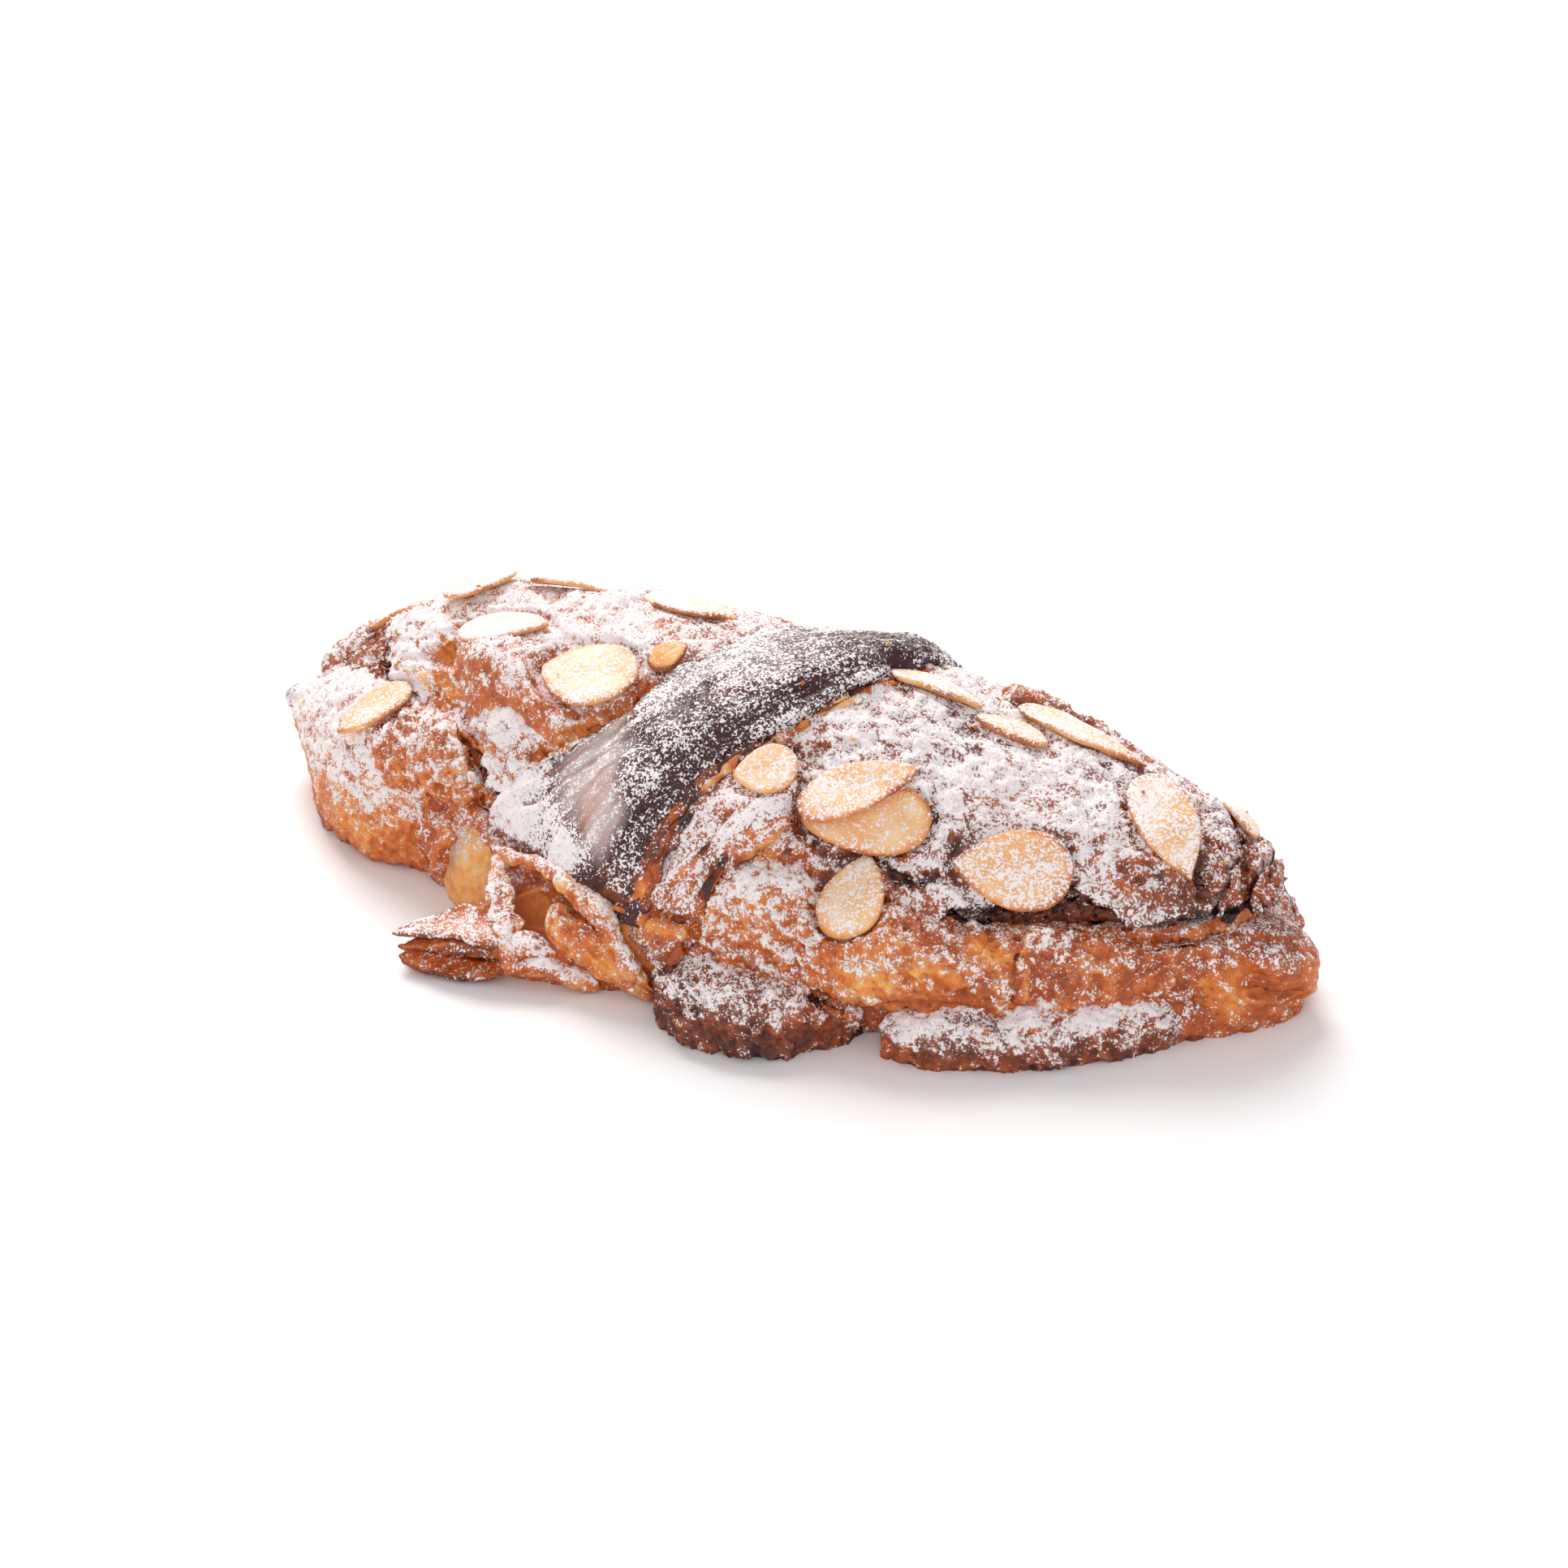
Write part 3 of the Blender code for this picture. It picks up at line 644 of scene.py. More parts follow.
def fresh_material(name, **constants):
    """A new material, its node tree and its surface, with these inputs of the surface set."""
    material = bpy.data.materials.new(name)
    material.use_nodes = True
    tree = Tree(material.node_tree)
    surface = material.node_tree.nodes["Principled BSDF"]
    for key, value in constants.items():
        surface.inputs[key.replace("_", " ")].default_value = value
    return material, tree, surface


def reading(tree, name):
    return tree.add("ShaderNodeAttribute", {"attribute_name": name}).outputs["Fac"]


def crust_material(name, settings, roughness=0.5, mottle=0.3, shine=0.35, grain=0.35, relief=1.0):
    """Baked crust under icing sugar. The relief's hollows hold less sugar, and their darker colour is painted
    shade.
    """
    material, tree, surface = fresh_material(name, Coat_Roughness=0.18, Specular_IOR_Level=0.3)
    baked = tree.add("ShaderNodeGroup", {"node_tree": baked_group()})
    dusted = tree.add("ShaderNodeGroup", {"node_tree": sugar_group()})
    tree.put(baked, "Tone", tree.maths("ADD", reading(tree, "bake"), settings.bake - 0.5))
    knobs = tree.swing(430, 3, 0.6, 0.4)
    raised = tree.maths("MULTIPLY_ADD", knobs, 4.5 * relief, reading(tree, "raised"))
    tree.put(baked, "Raised", raised)
    tree.put(baked, "Mottle", mottle)
    tree.put(dusted, "Colour", baked.outputs["Colour"])
    tree.put(dusted, "Cover", tree.maths("MULTIPLY", reading(tree, "cover"), settings.sugar))
    tree.put(dusted, "Raised", raised)
    tree.put(dusted, "Haze", reading(tree, "veil"))
    tree.put(dusted, "Sugar", (*settings.sugar_colour, 1.0))
    tree.put(surface, "Base Color", dusted.outputs["Colour"])
    tree.put(surface, "Roughness", tree.remap(dusted.outputs["Mask"], 0.0, 0.8, roughness, 0.95))
    tree.put(surface, "Coat Weight", tree.remap(dusted.outputs["Mask"], 0.0, 0.5, shine, 0.0))
    powder = tree.maths("MULTIPLY", dusted.outputs["Mask"], grain)
    height = tree.maths("MULTIPLY_ADD", tree.noise(950, 4, 0.65), 0.9, powder)
    height = tree.maths("MULTIPLY_ADD", knobs, 2.2 * relief, height)
    bump = tree.add("ShaderNodeBump", Height=height, Distance=0.0004, Strength=0.9)
    tree.put(surface, "Normal", bump.outputs["Normal"])
    return material


def almond_material(settings):
    """A flaked almond: pale flesh, a toasted rim where the bake attribute rises, and a little sugar."""
    material, tree, surface = fresh_material("Toasted almond", Subsurface_Weight=0.2, Subsurface_Scale=0.0012)
    dusted = tree.add("ShaderNodeGroup", {"node_tree": sugar_group()})
    drift = tree.maths("MULTIPLY", tree.swing(220, 3, 0.6, 0.5), 0.7)
    fibres = tree.maths("MULTIPLY", tree.swing(900, 3, 0.6), 0.2)
    level = tree.maths("ADD", tree.maths("ADD", reading(tree, "bake"), drift), fibres)
    colour = tree.ramp(level, [
        (0.0, tone(252, 230, 196)), (0.3, tone(250, 212, 164)), (0.6, tone(240, 172, 100)),
        (0.8, tone(214, 132, 66)), (1.0, tone(160, 84, 38)),
    ])
    tree.put(dusted, "Colour", colour)
    tree.put(dusted, "Cover", tree.maths("MULTIPLY", reading(tree, "cover"), settings.sugar))
    tree.put(dusted, "Sugar", (*settings.sugar_colour, 1.0))
    tree.put(surface, "Base Color", dusted.outputs["Colour"])
    tree.put(surface, "Roughness", tree.remap(dusted.outputs["Mask"], 0.0, 0.8, 0.42, 0.9))
    height = tree.maths("ADD", tree.noise(800, 4, 0.6), tree.maths("MULTIPLY", dusted.outputs["Mask"], 0.3))
    bump = tree.add("ShaderNodeBump", Height=height, Distance=0.00015, Strength=0.8)
    tree.put(surface, "Normal", bump.outputs["Normal"])
    return material


def powder_material(settings):
    """Loose grains of sugar, some a little darker than others."""
    constants = {"Roughness": 0.9, "Subsurface_Weight": 0.15, "Subsurface_Scale": 0.0008}
    material, tree, surface = fresh_material("Sugar grains", **constants)
    light = (*settings.sugar_colour, 1.0)
    shade = (*(c * 0.93 for c in settings.sugar_colour), 1.0)
    tree.put(surface, "Base Color", tree.mix(tree.noise(900, 2), light, shade))
    return material


# ---------------------------------------------------------------- pieces of the croissant


def height_of(line, x):
    return np.interp(x, [place[0] for place in line], [place[1] for place in line])


def settle(shell, low=0.0, high=None):
    """Cuts the piece flat at its lowest and highest level. In each row, what was lower than the lowest level
    becomes the straight line at that level between the last point above it and the first above it again."""
    points = shell.points
    kept = points[..., 2] > low
    count = kept.shape[1]
    split = kept[:, 0] & kept[:, -1]
    last = np.where(split, kept.argmin(1) - 1, count - 1 - kept[:, ::-1].argmax(1))
    first = np.where(split, count - kept[:, ::-1].argmin(1), kept.argmax(1)) % count
    row = np.arange(len(kept))
    after = (np.arange(count)[None, :] - last[:, None]) % count
    share = after / np.maximum((first - last) % count, 1)[:, None]
    share = np.where(kept.all(1)[:, None], 1.0, share)[..., None]
    line = points[row, last][:, None] * (1 - share) + points[row, first][:, None] * share
    points = np.where(share < 1, line, points)
    points = np.where(kept.any(1)[:, None, None], points, points.mean(1, keepdims=True))
    points[..., 2] = np.clip(np.where(share[..., 0] < 1, low, points[..., 2]), low, high)
    return shell.move_to(points)


def dust(shell, most=0.75, low=-0.15, high=0.85):
    """Sugar from above: cover rises with how far the surface faces up."""
    shell.cover = most * ramp(shell.normals[..., 2], low, high)
    return shell


# Marks on the crust and the cream: a line in mm, its width, how far it raises the surface, and what it adds
# to the bake tone and to the sugar. In clefts, creases, grooves and gaps the darker tone and the lost sugar
# are painted shade.
MARKS = [
    # clefts and creases, darkened with painted shade
    ([(-69, -5, 27.5), (-64, -11, 26.5), (-61, -12, 27)], 1.3, -1.1, 0.25, -0.4),
    ([(-53, -15, 27.5), (-46, -17.5, 26), (-41, -22.5, 21.5), (-38, -23.5, 21)], 1.2, -1.0, 0.15, -0.4),
    ([(-31, -19, 35), (-28.5, -21.5, 31)], 0.8, -1.0, 0.3, -0.3),
    ([(-30, -23, 26), (-25, -22, 29), (-21, -20.5, 32), (-16.5, -18, 35.5), (-15.5, -14, 37.5)],
     1.2, -1.8, 0.0, -1.0),
    ([(30, -24.5, 24), (34.5, -25, 22.5), (37.5, -23.5, 23.5)], 1.0, -1.2, 0.35, -0.5),
    ([(62, -15, 19), (66, -14, 17.5), (70.5, -10.5, 17.2), (74, -6, 17.2), (76.5, -3, 18.5)],
     1.2, -0.9, 0.15, -0.7),
    ([(8, -30.5, 22.5), (7, -33.5, 20), (7, -38, 17), (6, -39, 12), (3, -41, 8), (1, -42, 5)],
     0.9, -1.3, 0.12, -0.4),
    ([(0, -38, 14.6), (4, -38, 14.4)], 0.6, -1.3, 0.3, -0.6),
    ([(-2, -38.5, 12.5), (3, -38.5, 12.8), (6, -38.8, 13)], 1.2, 0.9, -0.25, -0.8),
    ([(58, 4, 31.5), (66, -2, 28.5), (72, -7, 22)], 1.4, -1.4, 0.1, -0.1),
    ([(68, 8, 28), (74, 2, 25), (77.5, -3, 20)], 1.2, -1.1, 0.1, -0.1),
    ([(26, 3, 38.5), (36, -3, 37), (46, -3, 36), (57, 1, 32)], 1.5, -0.9, 0.1, 0.0),
    # the left dome's hollow and nuggets, the shoulder, and lines on the wrap's left edge
    ([(-54.5, -10, 32), (-51, -11.5, 32.5), (-46, -14.5, 33.5)], 1.7, -2.4, -0.25, -0.9),
    ([(-53.5, -13.5, 29.5), (-49, -15.5, 28)], 1.3, -0.9, -0.25, -0.7),
    ([(-45, -20, 24.5), (-39, -21.5, 23.5)], 1.3, -0.6, -0.25, -0.5),
    ([(-62, -11, 27.5), (-58, -12.5, 29), (-49, -16.5, 27)], 1.0, 0.9, -0.2, -0.4),
    ([(-42, -17.5, 30), (-40, -13, 37), (-36, -16.5, 36.5)], 1.5, 1.0, -0.08, -0.4),
    ([(-61.5, -10, 29), (-56.5, -9.5, 31.5)], 1.2, 0.9, 0.0, 0.4),
    ([(-37, -20, 28), (-34, -20.5, 31.5), (-32.5, -20.5, 33)], 2.2, 1.2, 0.05, 0.05),
    ([(-43, -19, 26), (-38, -21, 27)], 1.6, 1.4, 0.1, 0.1),
    ([(-42.5, -25, 19.5), (-38, -25.5, 20)], 1.7, 1.5, 0.0, 0.15),
    ([(-39, -25.5, 14), (-36, -26, 17)], 1.2, -1.2, 0.1, -0.6),
    ([(-34.5, -27.5, 17.5), (-30.5, -27.5, 21.5), (-26, -26.5, 24.5)], 0.6, 0.7, 0.0, 0.4),
    ([(-34.5, -28, 16.5), (-31, -28.5, 19), (-26, -28.5, 22)], 0.5, -0.6, -0.3, -0.5),
    ([(-24, -25.5, 27), (-27.5, -27.5, 24)], 0.5, -0.4, -0.25, -0.5),
    ([(-10.5, -36.5, 14), (-8.5, -35.5, 17)], 0.6, -0.8, -0.2, -0.9),
    # nuggets, and grooves beside the wrap's right edge that are darkened with painted shade
    ([(11.5, -26.5, 29.5), (15, -25.5, 28.5), (17, -27.5, 25)], 1.7, 1.1, -0.15, -0.2),
    ([(14.5, -26, 28), (16, -27, 26)], 0.6, -1.6, 0.4, -0.5),
    ([(9.5, -30.5, 26), (11.5, -28.5, 28.5), (13.5, -28.5, 26)], 2.2, 1.6, -0.08, -0.1),
    ([(9.5, -32, 24.5), (12, -31, 24), (14.5, -29.5, 24)], 0.9, 0.2, -0.22, -0.8),
    ([(15.5, -26, 28), (16.5, -29, 25)], 0.7, -1.3, 0.3, -0.7),
    ([(8.5, -33.5, 23.5), (7, -36.5, 18.5)], 0.8, -1.1, 0.3, -0.8),
    ([(10, -27, 31.5), (12.5, -26, 31)], 1.4, 0.9, -0.1, -0.15),
    ([(5, -33.5, 24), (7.5, -30.5, 28.5), (10, -26.5, 32)], 0.5, -0.7, 0.25, -0.6),
    ([(16, -21, 36.5), (19.5, -20, 37)], 0.5, -0.8, 0.25, -0.5),
    # the right dome's rim and knobs, the left lobe's knob, the ledge, the flap and the foot, and under the
    # ledge a dark line of painted shade
    ([(33, -25, 23), (41, -24, 22.5), (47, -23.5, 20.5), (53, -20, 22), (59, -17, 20.5)],
     1.2, 0.6, 0.1, 0.0),
    ([(66, 6, 30), (72, 0, 27), (75, -5, 22)], 1.8, 1.3, 0.08, -0.1),
    ([(75, 6, 24), (79, 2, 20)], 1.8, 1.3, 0.08, -0.1),
    ([(-88, -3, 12.5), (-87, -4.5, 15)], 1.8, 2.0, 0.25, 0.0),
    ([(46, -27, 16.5), (50, -27, 16)], 1.6, 0.3, -0.25, -0.6),
    ([(31, -37, 12), (36, -36.5, 12)], 1.6, 0.5, -0.12, -0.5),
    ([(40, -34, 14.5), (45, -31.5, 13.5)], 1.3, 0.3, -0.2, -0.5),
    ([(30, -37, 13.5), (37.5, -34.5, 15.5), (43, -31, 16.5)], 1.0, 0.3, 0.0, 0.4),
    ([(51.5, -22, 19), (53.5, -27, 10.5)], 0.5, 1.0, -0.28, -0.5),
    ([(50.3, -22.5, 18.5), (52, -27.5, 10.5)], 0.5, -1.0, 0.2, -0.6),
    ([(26, -37.5, 8), (31, -36, 5.5), (36, -36, 8), (43, -34, 9.3), (50, -30.5, 8)], 1.0, -1.6, 0.35, -0.8),
]

# The horn's scoop, its bright lines, its wrinkles and its sugar; the wrinkles' darker tone is painted shade
HORN_MARKS = [
    ([(79, -5, 9), (80, -4, 8)], 2.2, -1.8, 0.05, -1.0),
    ([(80, -4.5, 10), (81, -3, 6.8), (82.5, -1.5, 5.5), (84.5, 2, 5.5)], 0.7, -0.9, 0.15, -0.6),
    ([(75.5, -8.5, 9.5), (77, -7.5, 7.5), (78.5, -6.5, 5.5)], 0.5, 0.7, -0.15, 0.6),
    ([(78.5, -6, 7.5), (80.5, -4, 4.5)], 0.5, 0.7, -0.15, 0.6),
    ([(75.5, -7, 13.5), (77.5, -6.5, 11), (78.5, -6, 8)], 0.5, 0.5, -0.15, 0.6),
    ([(80.5, -4, 4), (82.5, -1.5, 3.7), (84.5, 3, 4.2)], 0.45, -0.5, 0.1, -0.4),
    ([(81.5, -3.5, 2.2), (83.5, 0, 2.5)], 0.45, -0.4, 0.1, -0.4),
    ([(80.5, -3, 12), (83, 0, 10.5)], 2.0, 0.9, 0.1, 0.5),
    ([(66, -14, 15), (74, -9, 13.5)], 2.0, 0.4, 0.0, 0.45),
]


def mark(shell, marks):
    """Draws each mark: near its line the surface moves, and so do its bake tone and its sugar. In clefts,
    creases and gaps the darker tone and the lost sugar are painted shade.
    """
    for line, width, rise, bake, cover in marks:
        close = near(shell.points, line, width)
        if close.any():
            shell.bake = shell.bake + bake * close
            shell.cover = shell.cover + cover * close
            shell.push(rise * close, weight=0.3)
    return shell


BODY = {"rim": 3.5, "bulge": (2.3, 1.7, 2.0, 1.4)}


def upper_shell(span, seed):
    """Part of the upper crust: the body's roll above the cream, with its torn lower edge and its marks."""
    shell = crusty(Shell(roll(WHOLE_BODY, step=0.46, span=span, floor=CRUST_FLOOR, **BODY)), 0.9, seed)
    p = shell.points
    x, y, z = p[..., 0], p[..., 1], p[..., 2]
    edge = np.where(x < -10, height_of(LEFT_EDGE, x), height_of(RIGHT_EDGE, x))
    edge = edge + 0.9 * cloud(p * np.array([1.0, 0.3, 0.0]), 4.0, seed + 20)
    middle = along([(row[0], (row[1] + row[2]) / 2) for row in WHOLE_BODY], np.linspace(0, 1, 80))
    side = y - np.interp(x, middle[:, 0], middle[:, 1])
    facing = ramp(-side, 0, 5)
    level = shell.normals * np.array([1.0, 1.0, 0.0])
    level /= np.maximum(np.linalg.norm(level, axis=-1, keepdims=True), 1e-6)
    torn = 1 - 0.7 * ramp(-x, 60, 68)
    lip = torn * (0.5 * np.exp(-(((z - edge - 0.8) / 1.0) ** 2)) - 2.4 * ramp(edge - z, -0.3, 0.5))
    shell.push(facing * lip, level)
    far_edge = 20.5 + 1.2 * cloud(p * np.array([1.0, 0.3, 0.0]), 6.0, seed + 21)
    shell.push(ramp(side, 0, 5) * -2.0 * ramp(far_edge - z, -0.4, 0.6), level)
    shell.points[..., 0] -= 1.4 * ramp(shell.points[..., 0], 74, 82)
    settle(shell, CRUST_FLOOR)
    x, y, z = (shell.points[..., k] for k in range(3))
    dark_end = ramp(x, 56, 74) * ramp(33 - z, 0, 6) + ramp(-x, 66, 80) * 0.3
    shell.bake = 0.5 + 0.12 * dark_end + 0.14 * cloud(shell.points, 11.0, seed + 30)
    shell.bake += 0.1 * ramp(x, 5, 15) - 0.1 * ramp(-x, 5, 25)
    shell.bake += 0.25 * np.exp(-(((z - edge) / 1.2) ** 2)) * facing * ramp(x, -66, -60)
    dust(shell, 0.82)
    shell.cover *= 1 - 0.3 * dark_end
    shell.cover += 0.2 * ramp(x, 8, 20) * ramp(z, 22, 30) + 0.3 * ramp(-x, 15, 30) - 0.14 * ramp(x, 52, 66)
    return settle(mark(shell, MARKS), CRUST_FLOOR)


def build_crust(settings):
    crust = crust_material("Browned crust", settings)
    left = upper_shell((0.0, 0.56), 1)
    right = upper_shell((0.5, 1.0), 1)
    tip = settle(crusty(Shell(roll(LEFT_TIP, 18, 8, step=0.45)), 0.7, 5), CREAM_TOP - 0.5)
    tip.bake += 0.08
    hump = crusty(Shell(roll(DOUGH_HUMP, 30, 22, step=0.45)), 0.5, 6)
    hump.bake = 0.42 + 0.12 * cloud(hump.points, 6.0, 8)
    crag = crusty(Shell(roll(CREST_CRAG, 32, 26, step=0.45)), 1.1, 7)
    crag.bake = 0.52 + 0.15 * cloud(crag.points, 4.0, 9)
    for shell, most in ((tip, 0.8), (hump, 0.85), (crag, 0.5)):
        dust(shell, most)
    piece("left_crust", [left, tip, hump], crust, ["croissant_top"])
    piece("right_crust", [right, crag], crust)


def moved_edge(rows, right_by, down_by):
    """The same strip's right half, its right edge moved away from the left one and all of it lowered."""
    moved = []
    for left, right in rows:
        left, right = np.array(left, float), np.array(right, float)
        way = (right - left) / np.linalg.norm(right - left)
        lower = np.array([0, 0, -1.0]) * down_by
        moved.append((tuple(left + 0.5 * (right - left) + lower), tuple(right + way * right_by + lower)))
    return moved


def drawn_out(shell):
    """Places on a strip for noise that is drawn out along it: across in mm, and along in far longer steps."""
    return np.stack([shell.s * 14, shell.w * shell.width, shell.s * 0], -1)


def streaked(shell, seed, depth=0.35, swell=0.4):
    """Fine lengthwise streaks of stretched dough."""
    streak = 1 - 2 * np.abs(clouds(drawn_out(shell), 1.7, seed, 2))
    shell.push(depth * streak + swell * clouds(shell.points, 4.5, seed + 4, 3))
    return shell


# Layers under the wrap's right edge: how far each lies to the right and below, and its bake tone
OUTER_LAYERS = [(0.6, 0.8, 0.85), (1.2, 1.6, 0.5), (2.4, 3.0, 0.9)]
# The inner wrap and the layers under it: how far each lies to the right and below
INNER_LAYERS = [(0.0, 0.0), (1.4, 0.8), (2.9, 1.4), (4.0, 2.6)]
STRIP_STEP = 0.42


def dark_wrap():
    """The middle wrap: dark, with a white lower left, a streaked film of sugar beside it and specks above."""
    wrap = sheet(MIDDLE_WRAP, 2.2, 1.9, STRIP_STEP, ragged=1.1, seed=3)
    flat = drawn_out(wrap)
    lines = ramp(wrap.w, 0.5, 0.9) + 0.4 * ramp(0.3 - wrap.w, 0, 0.3)
    lines = 0.25 * lines * (1 - 2 * np.abs(clouds(flat, 1.5, 11, 2)))
    wrap.push(lines + 0.55 * clouds(wrap.points, 6.0, 15, 3))
    wrap.push(0.16 * clouds(wrap.points, 1.2, 17, 2, 0.7))
    low = ramp(26 - wrap.points[..., 2], 0, 10)
    wrap.bake = 1.0 + 0.12 * cloud(wrap.points, 8.0, 12) - 0.12 * low + 0.1 * ramp(wrap.w, 0.6, 0.85)
    white = ramp(0.12 + 0.1 * (0.5 - wrap.w) - wrap.s, -0.04, 0.04) * ramp(0.85 - wrap.w, 0, 0.25)
    left_strip = ramp(0.42 - wrap.w, 0, 0.2)
    spread = 0.055 + 0.045 * ramp(0.6 - wrap.w, 0, 0.3)
    film = np.exp(-(((wrap.s - 0.155 + 0.16 * (wrap.w - 0.6)) / spread) ** 4))
    film = film * ramp(wrap.w, -0.1, 0.14) * ramp(0.88 - wrap.w, 0, 0.12)
    streak = clouds(flat, 1.4, 21, 3)
    dust(wrap, 1.0, -0.4, 0.3)
    wrap.cover *= (0.4 + 0.75 * white + 0.24 * left_strip - 0.16 * ramp(wrap.w, 0.7, 0.85)
                   + 0.16 * ramp(wrap.s, 0.42, 0.55) + 0.08 * streak)
    # painted highlight: a thin line of sugar along the right edge; painted shade: no sugar along the lower
    # end, which leaves a dark line
    wrap.cover += 0.3 * ramp(wrap.w, 0.93, 0.99) - film * (0.42 - 0.5 * streak)
    wrap.cover -= 0.8 * ramp(0.035 - wrap.s, 0, 0.015)
    wrap.veil = (0.02 + 0.25 * left_strip) * (1 - film) - film * (0.44 + 0.2 * streak)
    wrap.bake -= 0.24 * film
    rim = 1 - ramp(wrap.normals[..., 2], -0.3, 0.1)
    wrap.bake -= 0.45 * rim * low
    return mark(wrap, MARKS)


def outer_layer(number, right_by, down_by, tint):
    """A torn layer under the wrap's right edge."""
    rows = moved_edge(MIDDLE_WRAP[:9], right_by, down_by)
    layer = sheet(rows, 1.2, 0.7, STRIP_STEP, ragged=0.6, seed=20 + number, lift=0.2)
    streaked(layer, 30 + number, 0.25, 0.25)
    layer.bake = tint + 0.42 * clouds(layer.points * np.array([1.0, 1.0, 0.4]), 2.2, 40 + number, 2)
    layer.bake += 0.25 * ramp(0.12 - layer.s, 0, 0.08)
    return dust(layer, 0.08, 0.0, 0.9)


def inner_layer(number, right_by, down_by):
    """A layer of the sugared wrap further right; the first two are shaded along their left edge."""
    rows = INNER_WRAP if number == 0 else moved_edge(INNER_WRAP, right_by, down_by)
    thick = 1.8 if number == 0 else 0.9
    layer = sheet(rows, 0.8, thick, STRIP_STEP, ragged=1.3, seed=50 + number, lift=0.9)
    streaked(layer, 60 + number)
    shade = (1 - ramp(layer.w, 0.1, 0.35)) * (number < 2)
    layer.bake = 0.62 + 0.16 * cloud(layer.points, 3.5, 70 + number) - 0.25 * ramp(layer.w, 0.93, 1.0)
    layer.bake += 0.16 * shade
    dust(layer, 0.95, -0.4, 0.8)
    layer.cover *= 0.9 - 0.7 * shade
    return mark(layer, MARKS)


def build_wrap(settings):
    dark = crust_material("Dark wrap", settings, mottle=0.25, shine=0.15, relief=0.25)
    laminated = crust_material("Laminated edge", settings, roughness=0.4, mottle=0.4, shine=0.3, relief=0.6)
    layers = [outer_layer(number, *numbers) for number, numbers in enumerate(OUTER_LAYERS)]
    layers += [inner_layer(number, *numbers) for number, numbers in enumerate(INNER_LAYERS)]
    piece("middle_wrap", [dark_wrap()], dark, ["croissant_top"])
    piece("wrap_layers", layers, laminated)


def lean_in(shell):
    """The left end leans in towards its foot."""
    x, z = shell.points[..., 0], shell.points[..., 2]
    shell.points[..., 0] = x + 4.5 * ramp(14 - z, 0, 14) * ramp(-x, 72, 88)
    return shell.move_to(shell.points)


def cream_shell(stations, rim, bottom=-TRAY_BITE, bulge=(2.4, 2.0), depth=0.8, seed=1, step=0.42, most=0.9):
    """A lobe of set cream on the tray, darker towards its foot."""
    shell = settle(crumbly(Shell(roll(stations, rim, bottom, bulge, step=step)), depth, seed))
    foot = ramp(9 - shell.points[..., 2], 0, 7)
    shell.bake = 0.42 + 0.1 * cloud(shell.points, 9.0, seed + 40) + 0.16 * foot
    return settle(mark(dust(shell, most, -0.3, 0.7), MARKS))


def build_cream(settings):
    cream = crust_material("Set almond cream", settings, mottle=0.4, grain=0.3)
    layer = crumbly(Shell(roll(FILLING, KNIFE_Z + 1, KNIFE_Z - 4, (3, 3), step=0.6, floor=12)), 0.8, 90)
    layer.bake = 0.5 + 0.15 * clouds(layer.points, 5.0, 92, 2)
    dust(settle(layer, KNIFE_Z + 0.3, CREAM_TOP + 0.3), 0.5)
    left = lean_in(cream_shell(LEFT_LOBE, 6, bulge=(2.6, 2.2), depth=0.55, seed=1))
    left.cover = (left.cover + 0.42) * ramp(left.points[..., 2], 5.5, 12)
    left.bake -= 0.1
    shoulder = cream_shell(LEFT_SHOULDER, 18, 13, seed=2)
    foot = cream_shell(CENTRE_FOOT, 4, depth=0.9, seed=3)
    foot.cover *= ramp(foot.points[..., 2], 3, 8)
    foot.bake += 0.2
    drape = cream_shell(CENTRE_DRAPE, 6, 2, (2.8, 2.2), depth=0.9, seed=4)
    drape.cover += 0.18
    drape.bake -= 0.04
    right_foot = cream_shell(RIGHT_FOOT, 3.5, depth=0.7, seed=5)
    right_foot.cover = (right_foot.cover + 0.32) * ramp(right_foot.points[..., 2], 0.5, 5)
    right_foot.veil += 0.1
    right_foot.bake += 0.12
    ledge = cream_shell(LEDGE, 11, 6.5, (2.3, 1.8), depth=0.75, seed=6, most=0.55)
    ledge.bake += 0.02
    far_rolls = ((FAR_LEFT_LOBE, 7), (FAR_RIGHT_LOBE, 8))
    far_lobes = [cream_shell(stations, 3.5, seed=seed, step=0.55) for stations, seed in far_rolls]
    flap = crumbly(sheet(CREAM_FLAP, 0.3, 2.5, 0.4, ragged=0.5, seed=13, lift=-2.4), 0.7, 14)
    flap.bake = 0.46 + 0.1 * cloud(flap.points, 5.0, 15) - 0.3 * ramp(0.09 - flap.w, 0, 0.06)
    dust(flap, 0.88, -0.6, 0.3)
    piece("cream_lobes", [left, shoulder, foot, layer], cream, ["almond_cream"])
    piece("cream_ledge", [drape, right_foot, ledge, *far_lobes, flap], cream)


def carve(shell, ball, way):
    """Sinks what lies in an ellipsoid, along one direction, until it lies on the ellipsoid's far side."""
    centre, radii = (np.array(part, float) for part in ball)
    way = np.array(way, float) / np.linalg.norm(way)
    start = (shell.points - centre) / radii
    run = way / radii
    a, b, c = run @ run, start @ run, (start**2).sum(-1) - 1
    depth = np.where(c < 0, (-b + np.sqrt(np.maximum(b * b - a * c, 0))) / a, 0.0)
    shell.raised = shell.raised - 0.25 * depth
    return shell.move_to(shell.points + depth[..., None] * way)


